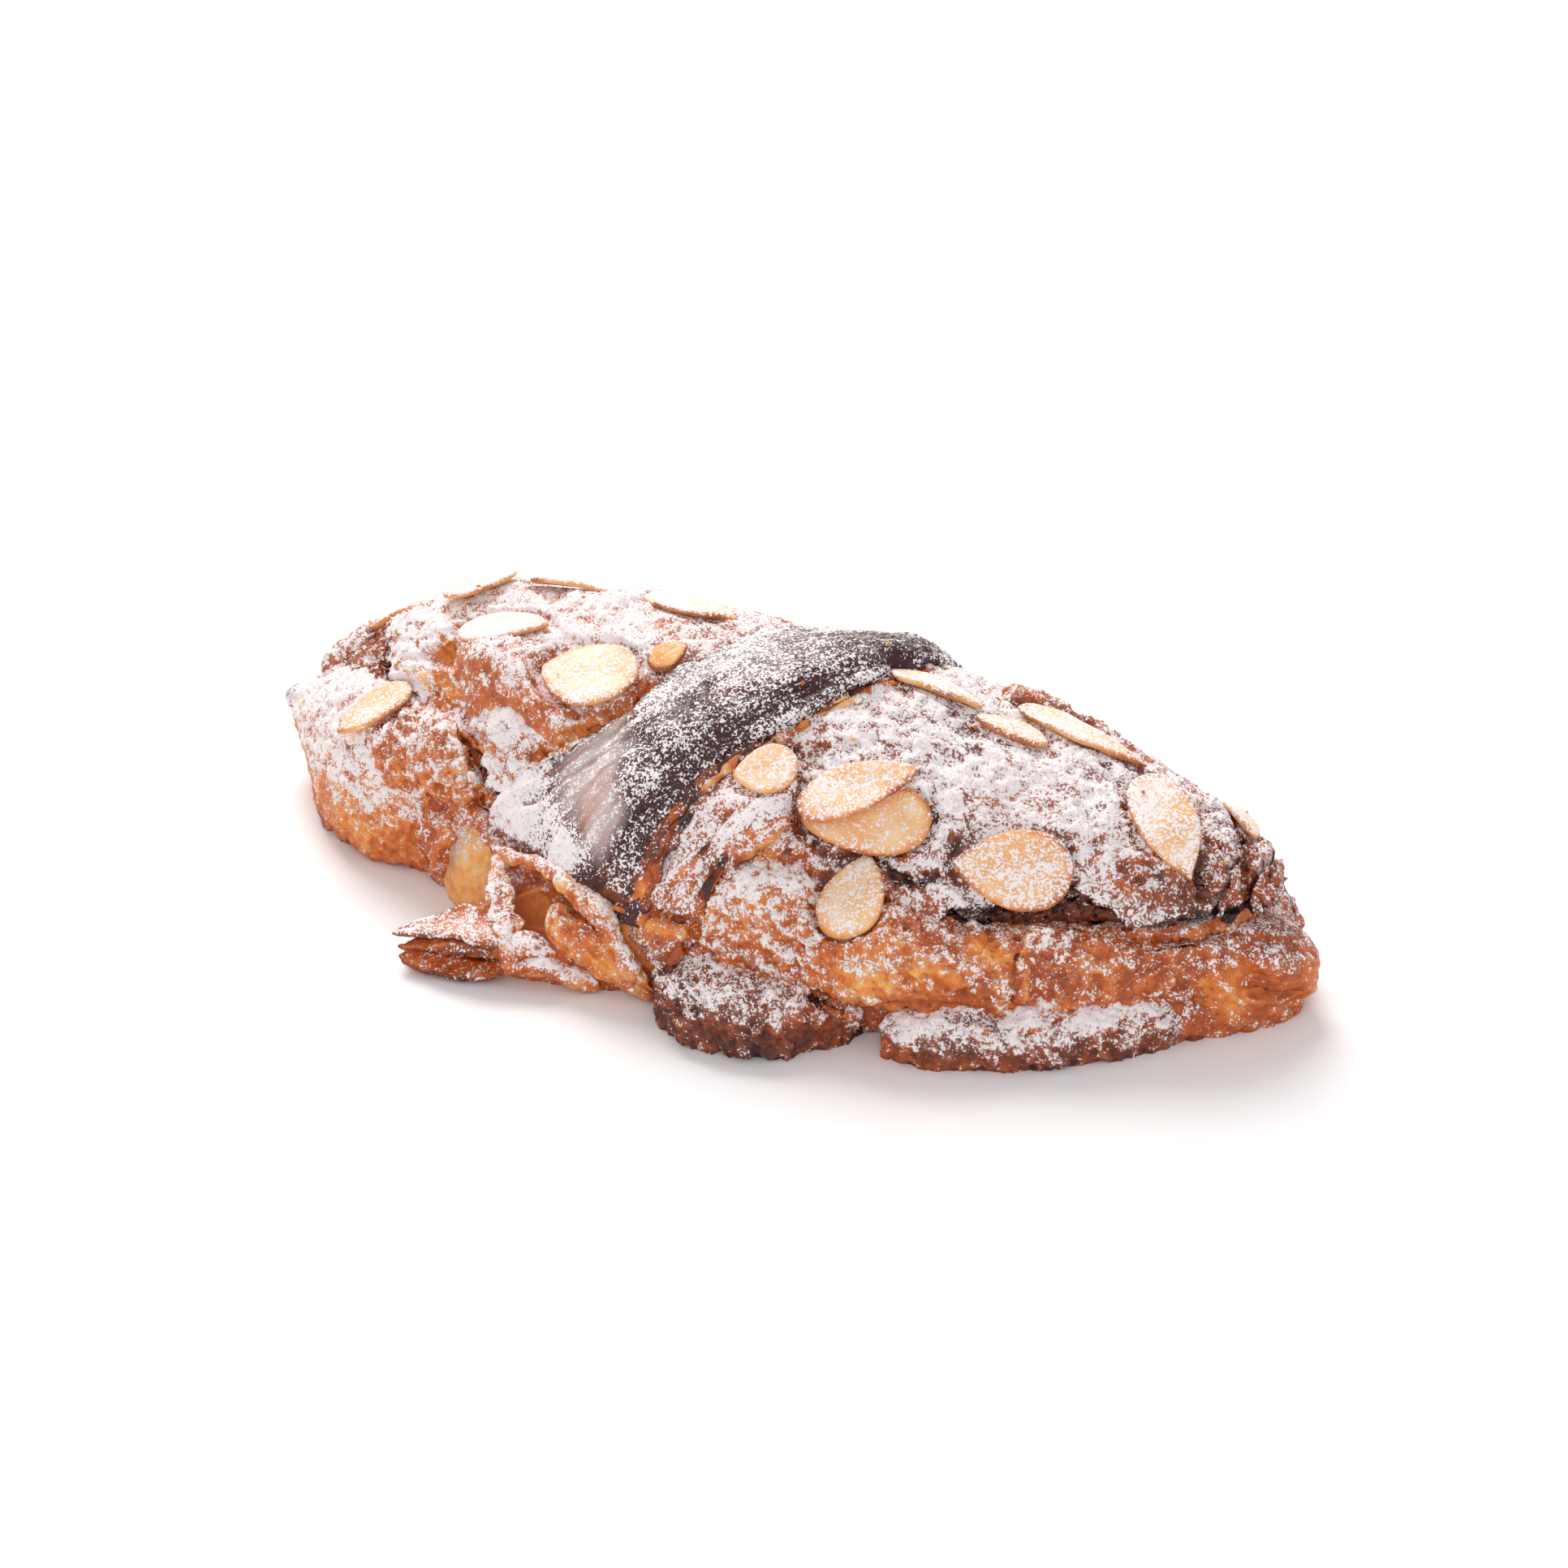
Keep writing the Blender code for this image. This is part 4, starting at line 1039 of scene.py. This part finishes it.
# Ribbons and leaves of dough on the tail: rows, bake tone and most sugar. A ribbon's row is x, y, z, half
# width and half height, and a leaf's row is a point on each edge.
TAIL_RIBBONS = [
    ([(-31.5, -31.5, 13, 1.0, 0.8), (-27.8, -36.7, 11.2, 1.7, 1.0), (-25.6, -39.7, 10, 1.9, 1.1),
      (-23.7, -42, 8.7, 1.8, 1.1), (-22, -44.2, 7, 1.6, 1.1), (-20.8, -45.3, 5, 1.4, 1.1),
      (-20.3, -45.6, 2.5, 1.1, 1.0)], 0.42, 0.8),
    ([(-32, -31, 13.3, 0.8, 0.8), (-28, -33, 13.8, 0.8, 0.9), (-21.8, -35.1, 15.3, 0.9, 1.0),
      (-16, -37.3, 15, 1.3, 1.3), (-11.2, -38.4, 13.6, 1.7, 1.7), (-7.7, -39.2, 11.6, 1.7, 1.6),
      (-5.5, -40.3, 9, 1.4, 1.4), (-2.6, -40.5, 6, 1.2, 1.2), (0.5, -39.8, 2.5, 1.0, 1.0)], 0.36, 0.75),
    ([(-17.1, -37, 11, 1.4, 1.6), (-15.2, -39.5, 9.3, 2.0, 2.0), (-12.7, -40.6, 7.5, 2.0, 2.0),
      (-9.5, -40.3, 6, 1.8, 1.8), (-6.5, -40.1, 4.2, 1.6, 1.6), (-3.3, -39.4, 2.6, 1.4, 1.4),
      (0, -38.7, 1.4, 1.2, 1.2)], 0.36, 0.3),
    ([(-12.5, -40.4, 11.2, 1.0, 1.2), (-9.8, -40.6, 9, 1.4, 1.5), (-6.8, -40.6, 6.8, 1.3, 1.4),
      (-4, -40.4, 4.4, 1.1, 1.2), (-2, -39.4, 2.5, 1.0, 1.0)], 0.4, 0.3),
    ([(-20.6, -45.4, 3.2, 1.1, 1.1), (-18.1, -44.2, 3.8, 1.6, 1.4), (-15.4, -43, 3.9, 1.7, 1.4),
      (-13.2, -42.2, 2.9, 1.6, 1.3), (-10.4, -41, 2, 1.4, 1.2), (-8.4, -40, 1.2, 1.0, 1.0)], 0.45, 1.0),
    ([(-23, -42.6, 6.2, 1.4, 1.2), (-20.5, -42.6, 6.4, 2.2, 1.5), (-17.7, -42.2, 5.8, 2.3, 1.5),
      (-14.8, -41.4, 4.6, 1.6, 1.3)], 0.5, 0.85),
    ([(-40.5, -30, 13.5, 1.0, 1.0), (-42, -31.5, 9.5, 1.1, 1.4), (-42, -32, 6, 1.0, 1.2)], 0.5, 0.3),
]
RIBBON_FLOOR = 0.05
TAIL_LEAVES = [
    ([((-39.9, -47.6, 4.4), (-39.2, -46.2, 5)), ((-36.1, -47.2, 5.2), (-34.8, -44.2, 7)),
      ((-33.1, -47, 5.9), (-31.8, -42, 8.8)), ((-29.4, -47, 6.4), (-28.6, -41, 9.6)),
      ((-24.8, -46.6, 6.8), (-24.6, -41.2, 9.8)),
      ((-20.5, -44.4, 6), (-21, -40.5, 8.5))], 0.42, 0.72),
    ([((-38.4, -48.8, 3.1), (-37, -46.6, 4)), ((-34.2, -48.8, 4), (-33.6, -45.2, 5.2)),
      ((-30.4, -48, 4.9), (-29.8, -44, 6.3)), ((-23.6, -46.2, 5.2), (-24, -42.6, 6.8))], 0.5, 0.15),
    ([((-38.2, -49, 1.9), (-36.6, -46.8, 2.8)), ((-35.3, -49.2, 1.1), (-33.6, -45.8, 2.4)),
      ((-30, -48.8, 0.8), (-29, -44.8, 2.4)), ((-24.2, -47, 1), (-24, -43.5, 2.8)),
      ((-21.4, -45.6, 2), (-21, -42.5, 3.6))], 0.5, 0.25),
]


def lower_half():
    """The lower crust: the body's roll up to the knife's cut, which falls away at the right end."""
    half = settle(crusty(Shell(roll(WHOLE_BODY, step=0.8, **BODY)), 0.8, 80), 0, KNIFE_Z)
    x, z = half.points[..., 0], half.points[..., 2]
    half.points[..., 2] = np.minimum(z, np.interp(x, [74, 78, 82], [KNIFE_Z, 11, 7]))
    lean_in(half)
    half.bake = 0.55 + 0.1 * cloud(half.points, 9.0, 81)
    return dust(half, 0.5)


def bare_horn():
    """The bare horn at the right end, raised towards its tip, with a scoop and thin lines."""
    horn = Shell(roll(RIGHT_HORN, 7, bulge=(2.6, 2.4), step=0.3))
    x, z = horn.points[..., 0], horn.points[..., 2]
    tip = ramp(x, 76, 85.5)
    horn.points[..., 2] = z + 4.0 * tip * (1 - z / 14)
    layered(horn, 0.35, 1.5, 82)
    horn.push(0.5 * clouds(horn.points, 4.0, 88, 3) * (1 - 0.5 * tip))
    horn.bake = 0.46 + 0.1 * cloud(horn.points, 7.0, 83) + 0.14 * ramp(horn.points[..., 2], 9, 13)
    horn.veil *= 0.5
    return settle(mark(dust(horn, 0.56, 0.35, 0.95), HORN_MARKS))


def hollow_tail():
    """The rolled tail, carved out at its mouth and at its tip: bare inside the hollows, and lighter there as
    painted light against their shade.
    """
    tail = layered(Shell(roll(TAIL_CORE, 4, step=0.38)), 0.35, 1.4, 84, (0.5, -0.5, 0.6))
    carve(tail, ((-21, -38, 11.5), (10, 6.5, 6.5)), (-0.35, 0.85, -0.5))
    settle(carve(tail, ((-36, -51, 4.2), (11, 4.5, 2.0)), (0.2, 1, 0)))
    hollow = ramp(-tail.raised, 0.1, 0.5)
    # painted shade: a little darker where the carve goes deepest; painted light: the whole hollow a good deal
    # lighter
    tail.bake = 0.5 + 0.12 * cloud(tail.points, 6.0, 85) + 0.06 * ramp(-tail.raised, 0.5, 1.6)
    tail.bake -= 0.28 * hollow
    dust(tail, 0.4, 0.4, 0.95)
    tail.cover *= 1 - hollow
    tail.veil *= 0.2
    return tail


def tail_ribbon(number, rows, tint, most):
    ribbon = rope(rows)
    ribbon.push(0.45 * clouds(ribbon.points, 2.8, 300 + number, 3), weight=0.4)
    ribbon.push(0.3 - 0.6 * np.abs(clouds(ribbon.points, 1.8, 310 + number, 3)))
    settle(ribbon, RIBBON_FLOOR)
    ribbon.bake = tint + 0.22 * clouds(ribbon.points, 2.6, 320 + number, 2)
    return dust(ribbon, most, -0.2, 0.8)


def tail_leaf(number, rows, tint, most):
    leaf = sheet(rows, 0.5, 0.7, 0.33, ragged=0.6, seed=340 + number, lift=0.0)
    leaf.push(0.4 * clouds(leaf.points, 3.0, 350 + number, 3))
    settle(leaf, RIBBON_FLOOR)
    edge = ramp(np.abs(2 * leaf.w - 1), 0.8, 1)
    leaf.bake = tint + 0.12 * cloud(leaf.points, 3.0, 360 + number) + 0.3 * edge
    return dust(leaf, most, -0.2, 0.8)


def build_dough(settings):
    dough = crust_material(
        "Laminated dough", settings, roughness=0.42, mottle=0.4, shine=0.2, grain=0.3, relief=0.6
    )
    barrel = settle(layered(Shell(roll(DOUGH_BARREL, 5, step=0.36)), 0.35, 1.5, 86, (1, -0.2, 0.2)))
    barrel.bake = 0.14 + 0.08 * cloud(barrel.points, 5.0, 87)
    dust(barrel, 0.5, 0.2, 0.95)
    ribbons = [tail_ribbon(number, *row) for number, row in enumerate(TAIL_RIBBONS)]
    ribbons += [tail_leaf(number, *row) for number, row in enumerate(TAIL_LEAVES)]
    piece("lower_crust", [lower_half()], dough, ["croissant_base"])
    piece("dough_tail", [hollow_tail(), barrel], dough)
    piece("tail_ribbons", ribbons, dough)
    piece("dough_horn", [bare_horn()], dough)


def slice_frame(node):
    """Centre, axes and half sizes of one of the model's almond slices: along to its tip, across and up."""
    verts = np.array([vert.co for vert in node.data.vertices], float) / MM
    centre = verts.mean(0)
    axes = np.linalg.svd(verts - centre, full_matrices=False)[2]
    ahead, aside, up = axes
    up = up if up[2] > 0 else -up
    place = (verts - centre) @ ahead
    spread = np.abs((verts - centre) @ aside)
    ahead = -ahead if (place * spread).sum() > 0 else ahead
    aside = np.cross(up, ahead)
    local = (verts - centre) @ np.stack([ahead, aside, up], 1)
    low, high = local.min(0), local.max(0)
    centre = centre + ((low + high) / 2) @ np.stack([ahead, aside, up])
    return centre, np.stack([ahead, aside, up]), (high - low) / 2


def slice_names():
    return sorted(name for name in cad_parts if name.startswith("almond_slice"))


@functools.cache
def slice_frames():
    return [slice_frame(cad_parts[name]) for name in slice_names()]


TEARDROP = 0.6


def almond_shell(centre, axes, half, seed, pale):
    """A flat teardrop: round its outline by angle, and from its lower middle over the rim to its upper one.
    Across is the sine of the angle times the sine of half of it to a power, and the ends bend down a bit."""
    angle = np.linspace(0, 2 * math.pi, 72, endpoint=False)[None, :]
    reach = np.concatenate([np.linspace(0.04, 0.9, 13), np.sin(np.linspace(1.2, math.pi / 2, 5))])
    reach = np.concatenate([reach, reach[::-1][1:]])[:, None]
    level = np.clip(1 - reach**14, 0, 1) ** 0.5
    side = np.where(np.arange(len(reach)) < len(reach) // 2, -1.0, 1.0)[:, None]
    uneven = 1 + 0.05 * clouds(np.stack([np.cos(angle), np.sin(angle), angle * 0 + seed], -1), 0.9, seed, 2)
    x = reach * np.cos(angle) * uneven
    y = reach * np.sin(angle) * np.sin(angle / 2) ** TEARDROP * 1.12 * uneven
    flat = np.stack([x * half[0], y * half[1], x * 0], -1)
    z = side * level * 0.58 - 0.4 * x**2 + 0.35
    warp = 0.28 * clouds(np.stack([x * half[0], y * half[1], z * 0 + seed], -1), 6.0, seed, 2)
    groove = -0.05 * np.exp(-((y * half[1] / 0.35) ** 2)) * ramp(x, -0.9, -0.3) * (side > 0)
    flat[..., 2] = z + warp + groove
    shell = Shell(centre + TABLE_CENTRE + flat @ axes)
    rim = ramp(reach + 0 * x, 0.74, 1.0) ** 1.8
    patch = cloud(shell.points, 4.0, seed + 3)
    shell.bake = pale + 0.12 * patch + (0.36 + 0.25 * patch) * rim
    lower_side = 0.25 * ramp(-y, 0.1, 0.8) * np.sign(axes[1][1])
    drifted = 1 + 0.35 * clouds(shell.points, 5.0, seed + 50, 2) + lower_side
    shell.cover = ramp(shell.normals[..., 2], 0.0, 0.9) * drifted
    return shell


def make_room(shell):
    """Presses the surface down below every almond slice that lies on it, and paints shade round its foot: a
    darker tone and no sugar there.
    """
    for centre, axes, half in slice_frames():
        local = (shell.points - TABLE_CENTRE - centre) @ axes.T
        u, v, w = local[..., 0] / half[0], local[..., 1] / half[1], local[..., 2]
        away = np.sqrt(u * u + v * v)
        inside = 1 - ramp(away, 1.0, 1.2)
        excess = np.clip(w + 0.45 + 0.4 * u * u, 0, 5) * (w < 5)
        shell.points = shell.points - (excess * inside)[..., None] * axes[2]
        # painted shade: a ring round each slice's foot, darker and without sugar
        foot = np.exp(-(((away - 1.03) / 0.09) ** 2)) * (np.abs(w) < 2.5)
        shell.bake = shell.bake + 0.2 * foot
        shell.cover = shell.cover - 0.4 * foot


# How sugared and how toasted each slice is, by its number, where it differs from most
SLICE_DUST = {
    1: 0.6, 2: 0.6, 3: 0.95, 4: 1.0, 5: 0.95, 6: 0.95, 7: 0.68, 8: 0.2, 10: 0.7, 11: 0.46, 12: 0.48, 13: 0.72,
    14: 0.78, 18: 0.72,
}
MOST_DUST = 0.78
SLICE_TONE = {1: 0.45, 2: 0.5, 7: 0.42, 8: 0.58, 10: 0.44, 11: 0.44, 12: 0.42, 13: 0.56, 14: 0.54}
MOST_TONE = 0.36


def build_almonds(settings):
    material = almond_material(settings)
    shells = []
    for number, held in enumerate(slice_frames(), 1):
        shell = almond_shell(*held, 200 + number, SLICE_TONE.get(number, MOST_TONE))
        shell.cover *= SLICE_DUST.get(number, MOST_DUST)
        shells.append(shell)
    piece("almond_slices", shells, material, slice_names(), pressed=False)


def dusted_places(count, seed, least=0.25):
    """Points and normals on the upward faces of every piece so far, more of them where the cover is high."""
    rng = np.random.default_rng(seed)
    points, normals, weights = [], [], []
    for made in DUSTED:
        mesh = made.data
        faces = len(mesh.polygons)
        centres, ways, areas = np.empty(faces * 3), np.empty(faces * 3), np.empty(faces)
        mesh.polygons.foreach_get("center", centres)
        mesh.polygons.foreach_get("normal", ways)
        mesh.polygons.foreach_get("area", areas)
        cover = np.empty(len(mesh.vertices))
        mesh.attributes["cover"].data.foreach_get("value", cover)
        first = np.empty(faces, int)
        mesh.polygons.foreach_get("loop_start", first)
        corner = np.empty(len(mesh.loops), int)
        mesh.loops.foreach_get("vertex_index", corner)
        centres, ways, cover = centres.reshape(-1, 3), ways.reshape(-1, 3), cover[corner[first]]
        points.append(centres)
        normals.append(ways)
        weights.append(areas * np.maximum(cover - least, 0) * (ways[:, 2] > 0.05) * (centres[:, 2] > 0.002))
    points, normals, weights = (np.concatenate(parts) for parts in (points, normals, weights))
    clump = clouds(points / MM, 3.0, seed, 3)
    weights *= ramp(clump, -0.5, 0.6) + 0.1
    chosen = rng.choice(len(points), count, p=weights / weights.sum())
    return points[chosen] + rng.normal(0, 0.12 * MM, (count, 3)), normals[chosen], rng


# An eight-sided grain: its corners lie ahead, aside, behind, on the other side, above and below.
GRAIN_FACES = [(0, 1, 4), (1, 2, 4), (2, 3, 4), (3, 0, 4), (1, 0, 5), (2, 1, 5), (3, 2, 5), (0, 3, 5)]


def scatter_grains(name, places, ways, sizes, material):
    """One mesh of small eight-sided grains, each pressed towards the surface it lies on."""
    count = len(places)
    rng = np.random.default_rng(7)
    ahead = np.cross(ways, rng.normal(0, 1, (count, 3)))
    ahead /= np.linalg.norm(ahead, axis=1, keepdims=True)
    aside = np.cross(ways, ahead)
    corners = np.stack([ahead, aside, -ahead, -aside, ways * 0.7, -ways * 0.7], 1)
    corners *= (sizes[:, None] * rng.uniform(0.7, 1.3, (count, 6)))[..., None]
    points = (places + ways * sizes[:, None] * 0.3)[:, None, :] + corners
    faces = (np.arange(count)[:, None, None] * 6 + np.array(GRAIN_FACES)).reshape(-1, 3)
    add_piece(name, points.reshape(-1, 3), faces.tolist(), material)


def crumb_material(settings):
    """Loose crumbs: each takes a tone of baked crust from where it lies."""
    material, tree, surface = fresh_material("Crumbs", Roughness=0.6)
    baked = tree.add("ShaderNodeGroup", {"node_tree": baked_group()}, Mottle=1.0, Tone=settings.bake - 0.15)
    tree.put(surface, "Base Color", baked.outputs["Colour"])
    return material


def build_crumbs(settings):
    places, ways, rng = dusted_places(settings.crumbs, 9, 0.0)
    sizes = rng.uniform(0.00025, 0.00055, settings.crumbs)
    scatter_grains("crumbs", places, ways, sizes, crumb_material(settings))


def build_sugar(settings):
    places, ways, rng = dusted_places(settings.grains, 5)
    sizes = rng.uniform(0.00007, 0.00017, settings.grains)
    scatter_grains("sugar_grains", places, ways, sizes, powder_material(settings))


# ---------------------------------------------------------------- stage


LIGHT_AIM = (0, 0, 0.02)
CAMERA_AIM = (0.00336, 0.00327, 0.018)
CAMERA_TURN, CAMERA_RISE = math.radians(29), math.radians(28)
CAMERA_DISTANCE = 0.56
LENS, SENSOR = 85, 36
FLOOR_REACH = 3.0


def looking(way):
    """The turn of a lamp or a camera that looks this way."""
    return way.to_track_quat("-Z", "Y").to_euler()


def area_light(name, place, size, power, colour):
    light = bpy.data.lights.new(name, "AREA")
    light.shape = "DISK"
    light.size = size
    light.energy = power
    light.color = colour
    made = bpy.data.objects.new(name, light)
    made.location = place
    made.rotation_euler = looking(Vector(LIGHT_AIM) - Vector(place))
    bpy.context.scene.collection.objects.link(made)


def build_stage(settings):
    scene = bpy.context.scene
    scene.view_settings.view_transform = "Standard"
    material, tree, surface = fresh_material("Pale surface", Roughness=0.7)
    light, shade = tone(250, 249, 249), tone(247, 246, 247)
    tree.put(surface, "Base Color", tree.mix(tree.noise(3, 2), light, shade))
    mesh = bpy.data.meshes.new("floor")
    corners = [(x * FLOOR_REACH, y * FLOOR_REACH, 0) for x, y in ((-1, -1), (1, -1), (1, 1), (-1, 1))]
    mesh.from_pydata(corners, [], [(0, 1, 2, 3)])
    mesh.materials.append(material)
    floor = bpy.data.objects.new("floor", mesh)
    scene.collection.objects.link(floor)
    world = bpy.data.worlds.new("Soft light")
    world.use_nodes = True
    back = world.node_tree.nodes["Background"]
    back.inputs["Color"].default_value = (*settings.sky_colour, 1.0)
    back.inputs["Strength"].default_value = settings.sky
    scene.world = world
    area_light("window", (-0.55, 0.55, 0.8), 0.7, settings.window, (1.0, 0.97, 0.94))
    area_light("front", (0.35, -0.9, 0.6), 0.9, settings.front, (1.0, 0.98, 0.97))
    camera = bpy.data.cameras.new("camera")
    camera.lens = LENS
    camera.sensor_width = SENSOR
    camera.clip_start = 0.01
    made = bpy.data.objects.new("camera", camera)
    level = math.cos(CAMERA_RISE)
    way = Vector((math.sin(CAMERA_TURN) * level, -math.cos(CAMERA_TURN) * level, math.sin(CAMERA_RISE)))
    made.location = Vector(CAMERA_AIM) + way * CAMERA_DISTANCE
    made.rotation_euler = looking(-way)
    scene.collection.objects.link(made)
    scene.camera = made


# ---------------------------------------------------------------- add-on


class CroissantSettings(bpy.types.PropertyGroup):
    """Sizes and colours that a user may change before building."""

    bake: FloatProperty(name="Bake", description="How dark all crusts are baked", default=0.5, min=0, max=1,
                        subtype="FACTOR")
    sugar: FloatProperty(name="Sugar", description="How much icing sugar lies on the crust", default=1.0,
                         min=0, max=2)
    sugar_colour: FloatVectorProperty(name="Sugar colour", description="Colour of the icing sugar",
                                      default=SUGAR[:3], size=3, subtype="COLOR", min=0, max=1)
    grains: IntProperty(name="Grains", description="Number of sugar grains", default=20000,
                        min=0, max=24000)
    crumbs: IntProperty(name="Crumbs", description="Number of loose crumbs", default=160, min=0, max=2000)
    window: FloatProperty(name="Window", description="Power of the light behind on the left", default=12.0,
                          min=0, unit="POWER")
    front: FloatProperty(name="Front", description="Power of the light in front", default=3.0,
                         min=0, unit="POWER")
    sky: FloatProperty(name="Sky", description="Strength of the light from all round", default=0.62, min=0)
    sky_colour: FloatVectorProperty(name="Sky colour", description="Colour of the light from all round",
                                    default=(1.0, 0.99, 1.0), size=3, subtype="COLOR", min=0, max=1)


class Build(bpy.types.Operator):
    """What all the steps share: each runs its own work with the scene's settings."""

    work = None

    def execute(self, context):
        type(self).work(context.scene.croissant)
        return {"FINISHED"}


class CrustOperator(Build):
    """Builds the browned upper crust with its torn edge, left tip, hump and crag."""

    bl_idname = "croissant.crust"
    bl_label = "Upper crust"
    work = build_crust


class WrapOperator(Build):
    """Builds the dark middle wrap of the dough and the thin layers under its right edge."""

    bl_idname = "croissant.wrap"
    bl_label = "Middle wrap"
    work = build_wrap


class CreamOperator(Build):
    """Builds the set almond cream between the halves and the lobes that ran out."""

    bl_idname = "croissant.cream"
    bl_label = "Almond cream"
    work = build_cream


class DoughOperator(Build):
    """Builds the lower crust, the tail and the horn of laminated dough."""

    bl_idname = "croissant.dough"
    bl_label = "Dough"
    work = build_dough


class AlmondOperator(Build):
    """Builds the toasted almond slices where the model holds them."""

    bl_idname = "croissant.almonds"
    bl_label = "Almond slices"
    work = build_almonds


class CrumbOperator(Build):
    """Scatters a few loose crumbs over the crust."""

    bl_idname = "croissant.crumbs"
    bl_label = "Crumbs"
    work = build_crumbs


class SugarOperator(Build):
    """Scatters grains of icing sugar over every piece built so far."""

    bl_idname = "croissant.sugar"
    bl_label = "Sugar grains"
    work = build_sugar


class StageOperator(Build):
    """Builds the pale surface, the soft light and the camera."""

    bl_idname = "croissant.stage"
    bl_label = "Stage"
    work = build_stage


OPERATORS = [
    CrustOperator, WrapOperator, CreamOperator, DoughOperator, AlmondOperator, CrumbOperator, SugarOperator,
    StageOperator,
]


class CroissantPanel(bpy.types.Panel):
    """Lists the settings and the steps in the order in which they are run."""

    bl_idname = "VIEW3D_PT_croissant"
    bl_label = "Almond croissant"
    bl_space_type = "VIEW_3D"
    bl_region_type = "UI"
    bl_category = "Croissant"

    def draw(self, context):
        for name in CroissantSettings.__annotations__:
            self.layout.prop(context.scene.croissant, name)
        for operator in OPERATORS:
            self.layout.operator(operator.bl_idname)


CLASSES = [CroissantSettings, *OPERATORS, CroissantPanel]


def register():
    for made in CLASSES:
        bpy.utils.register_class(made)
    bpy.types.Scene.croissant = PointerProperty(type=CroissantSettings)


def unregister():
    del bpy.types.Scene.croissant
    for made in reversed(CLASSES):
        bpy.utils.unregister_class(made)


def main():
    register()
    for operator in OPERATORS:
        family, name = operator.bl_idname.split(".")
        getattr(getattr(bpy.ops, family), name)()


if __name__ == "__main__":
    main()
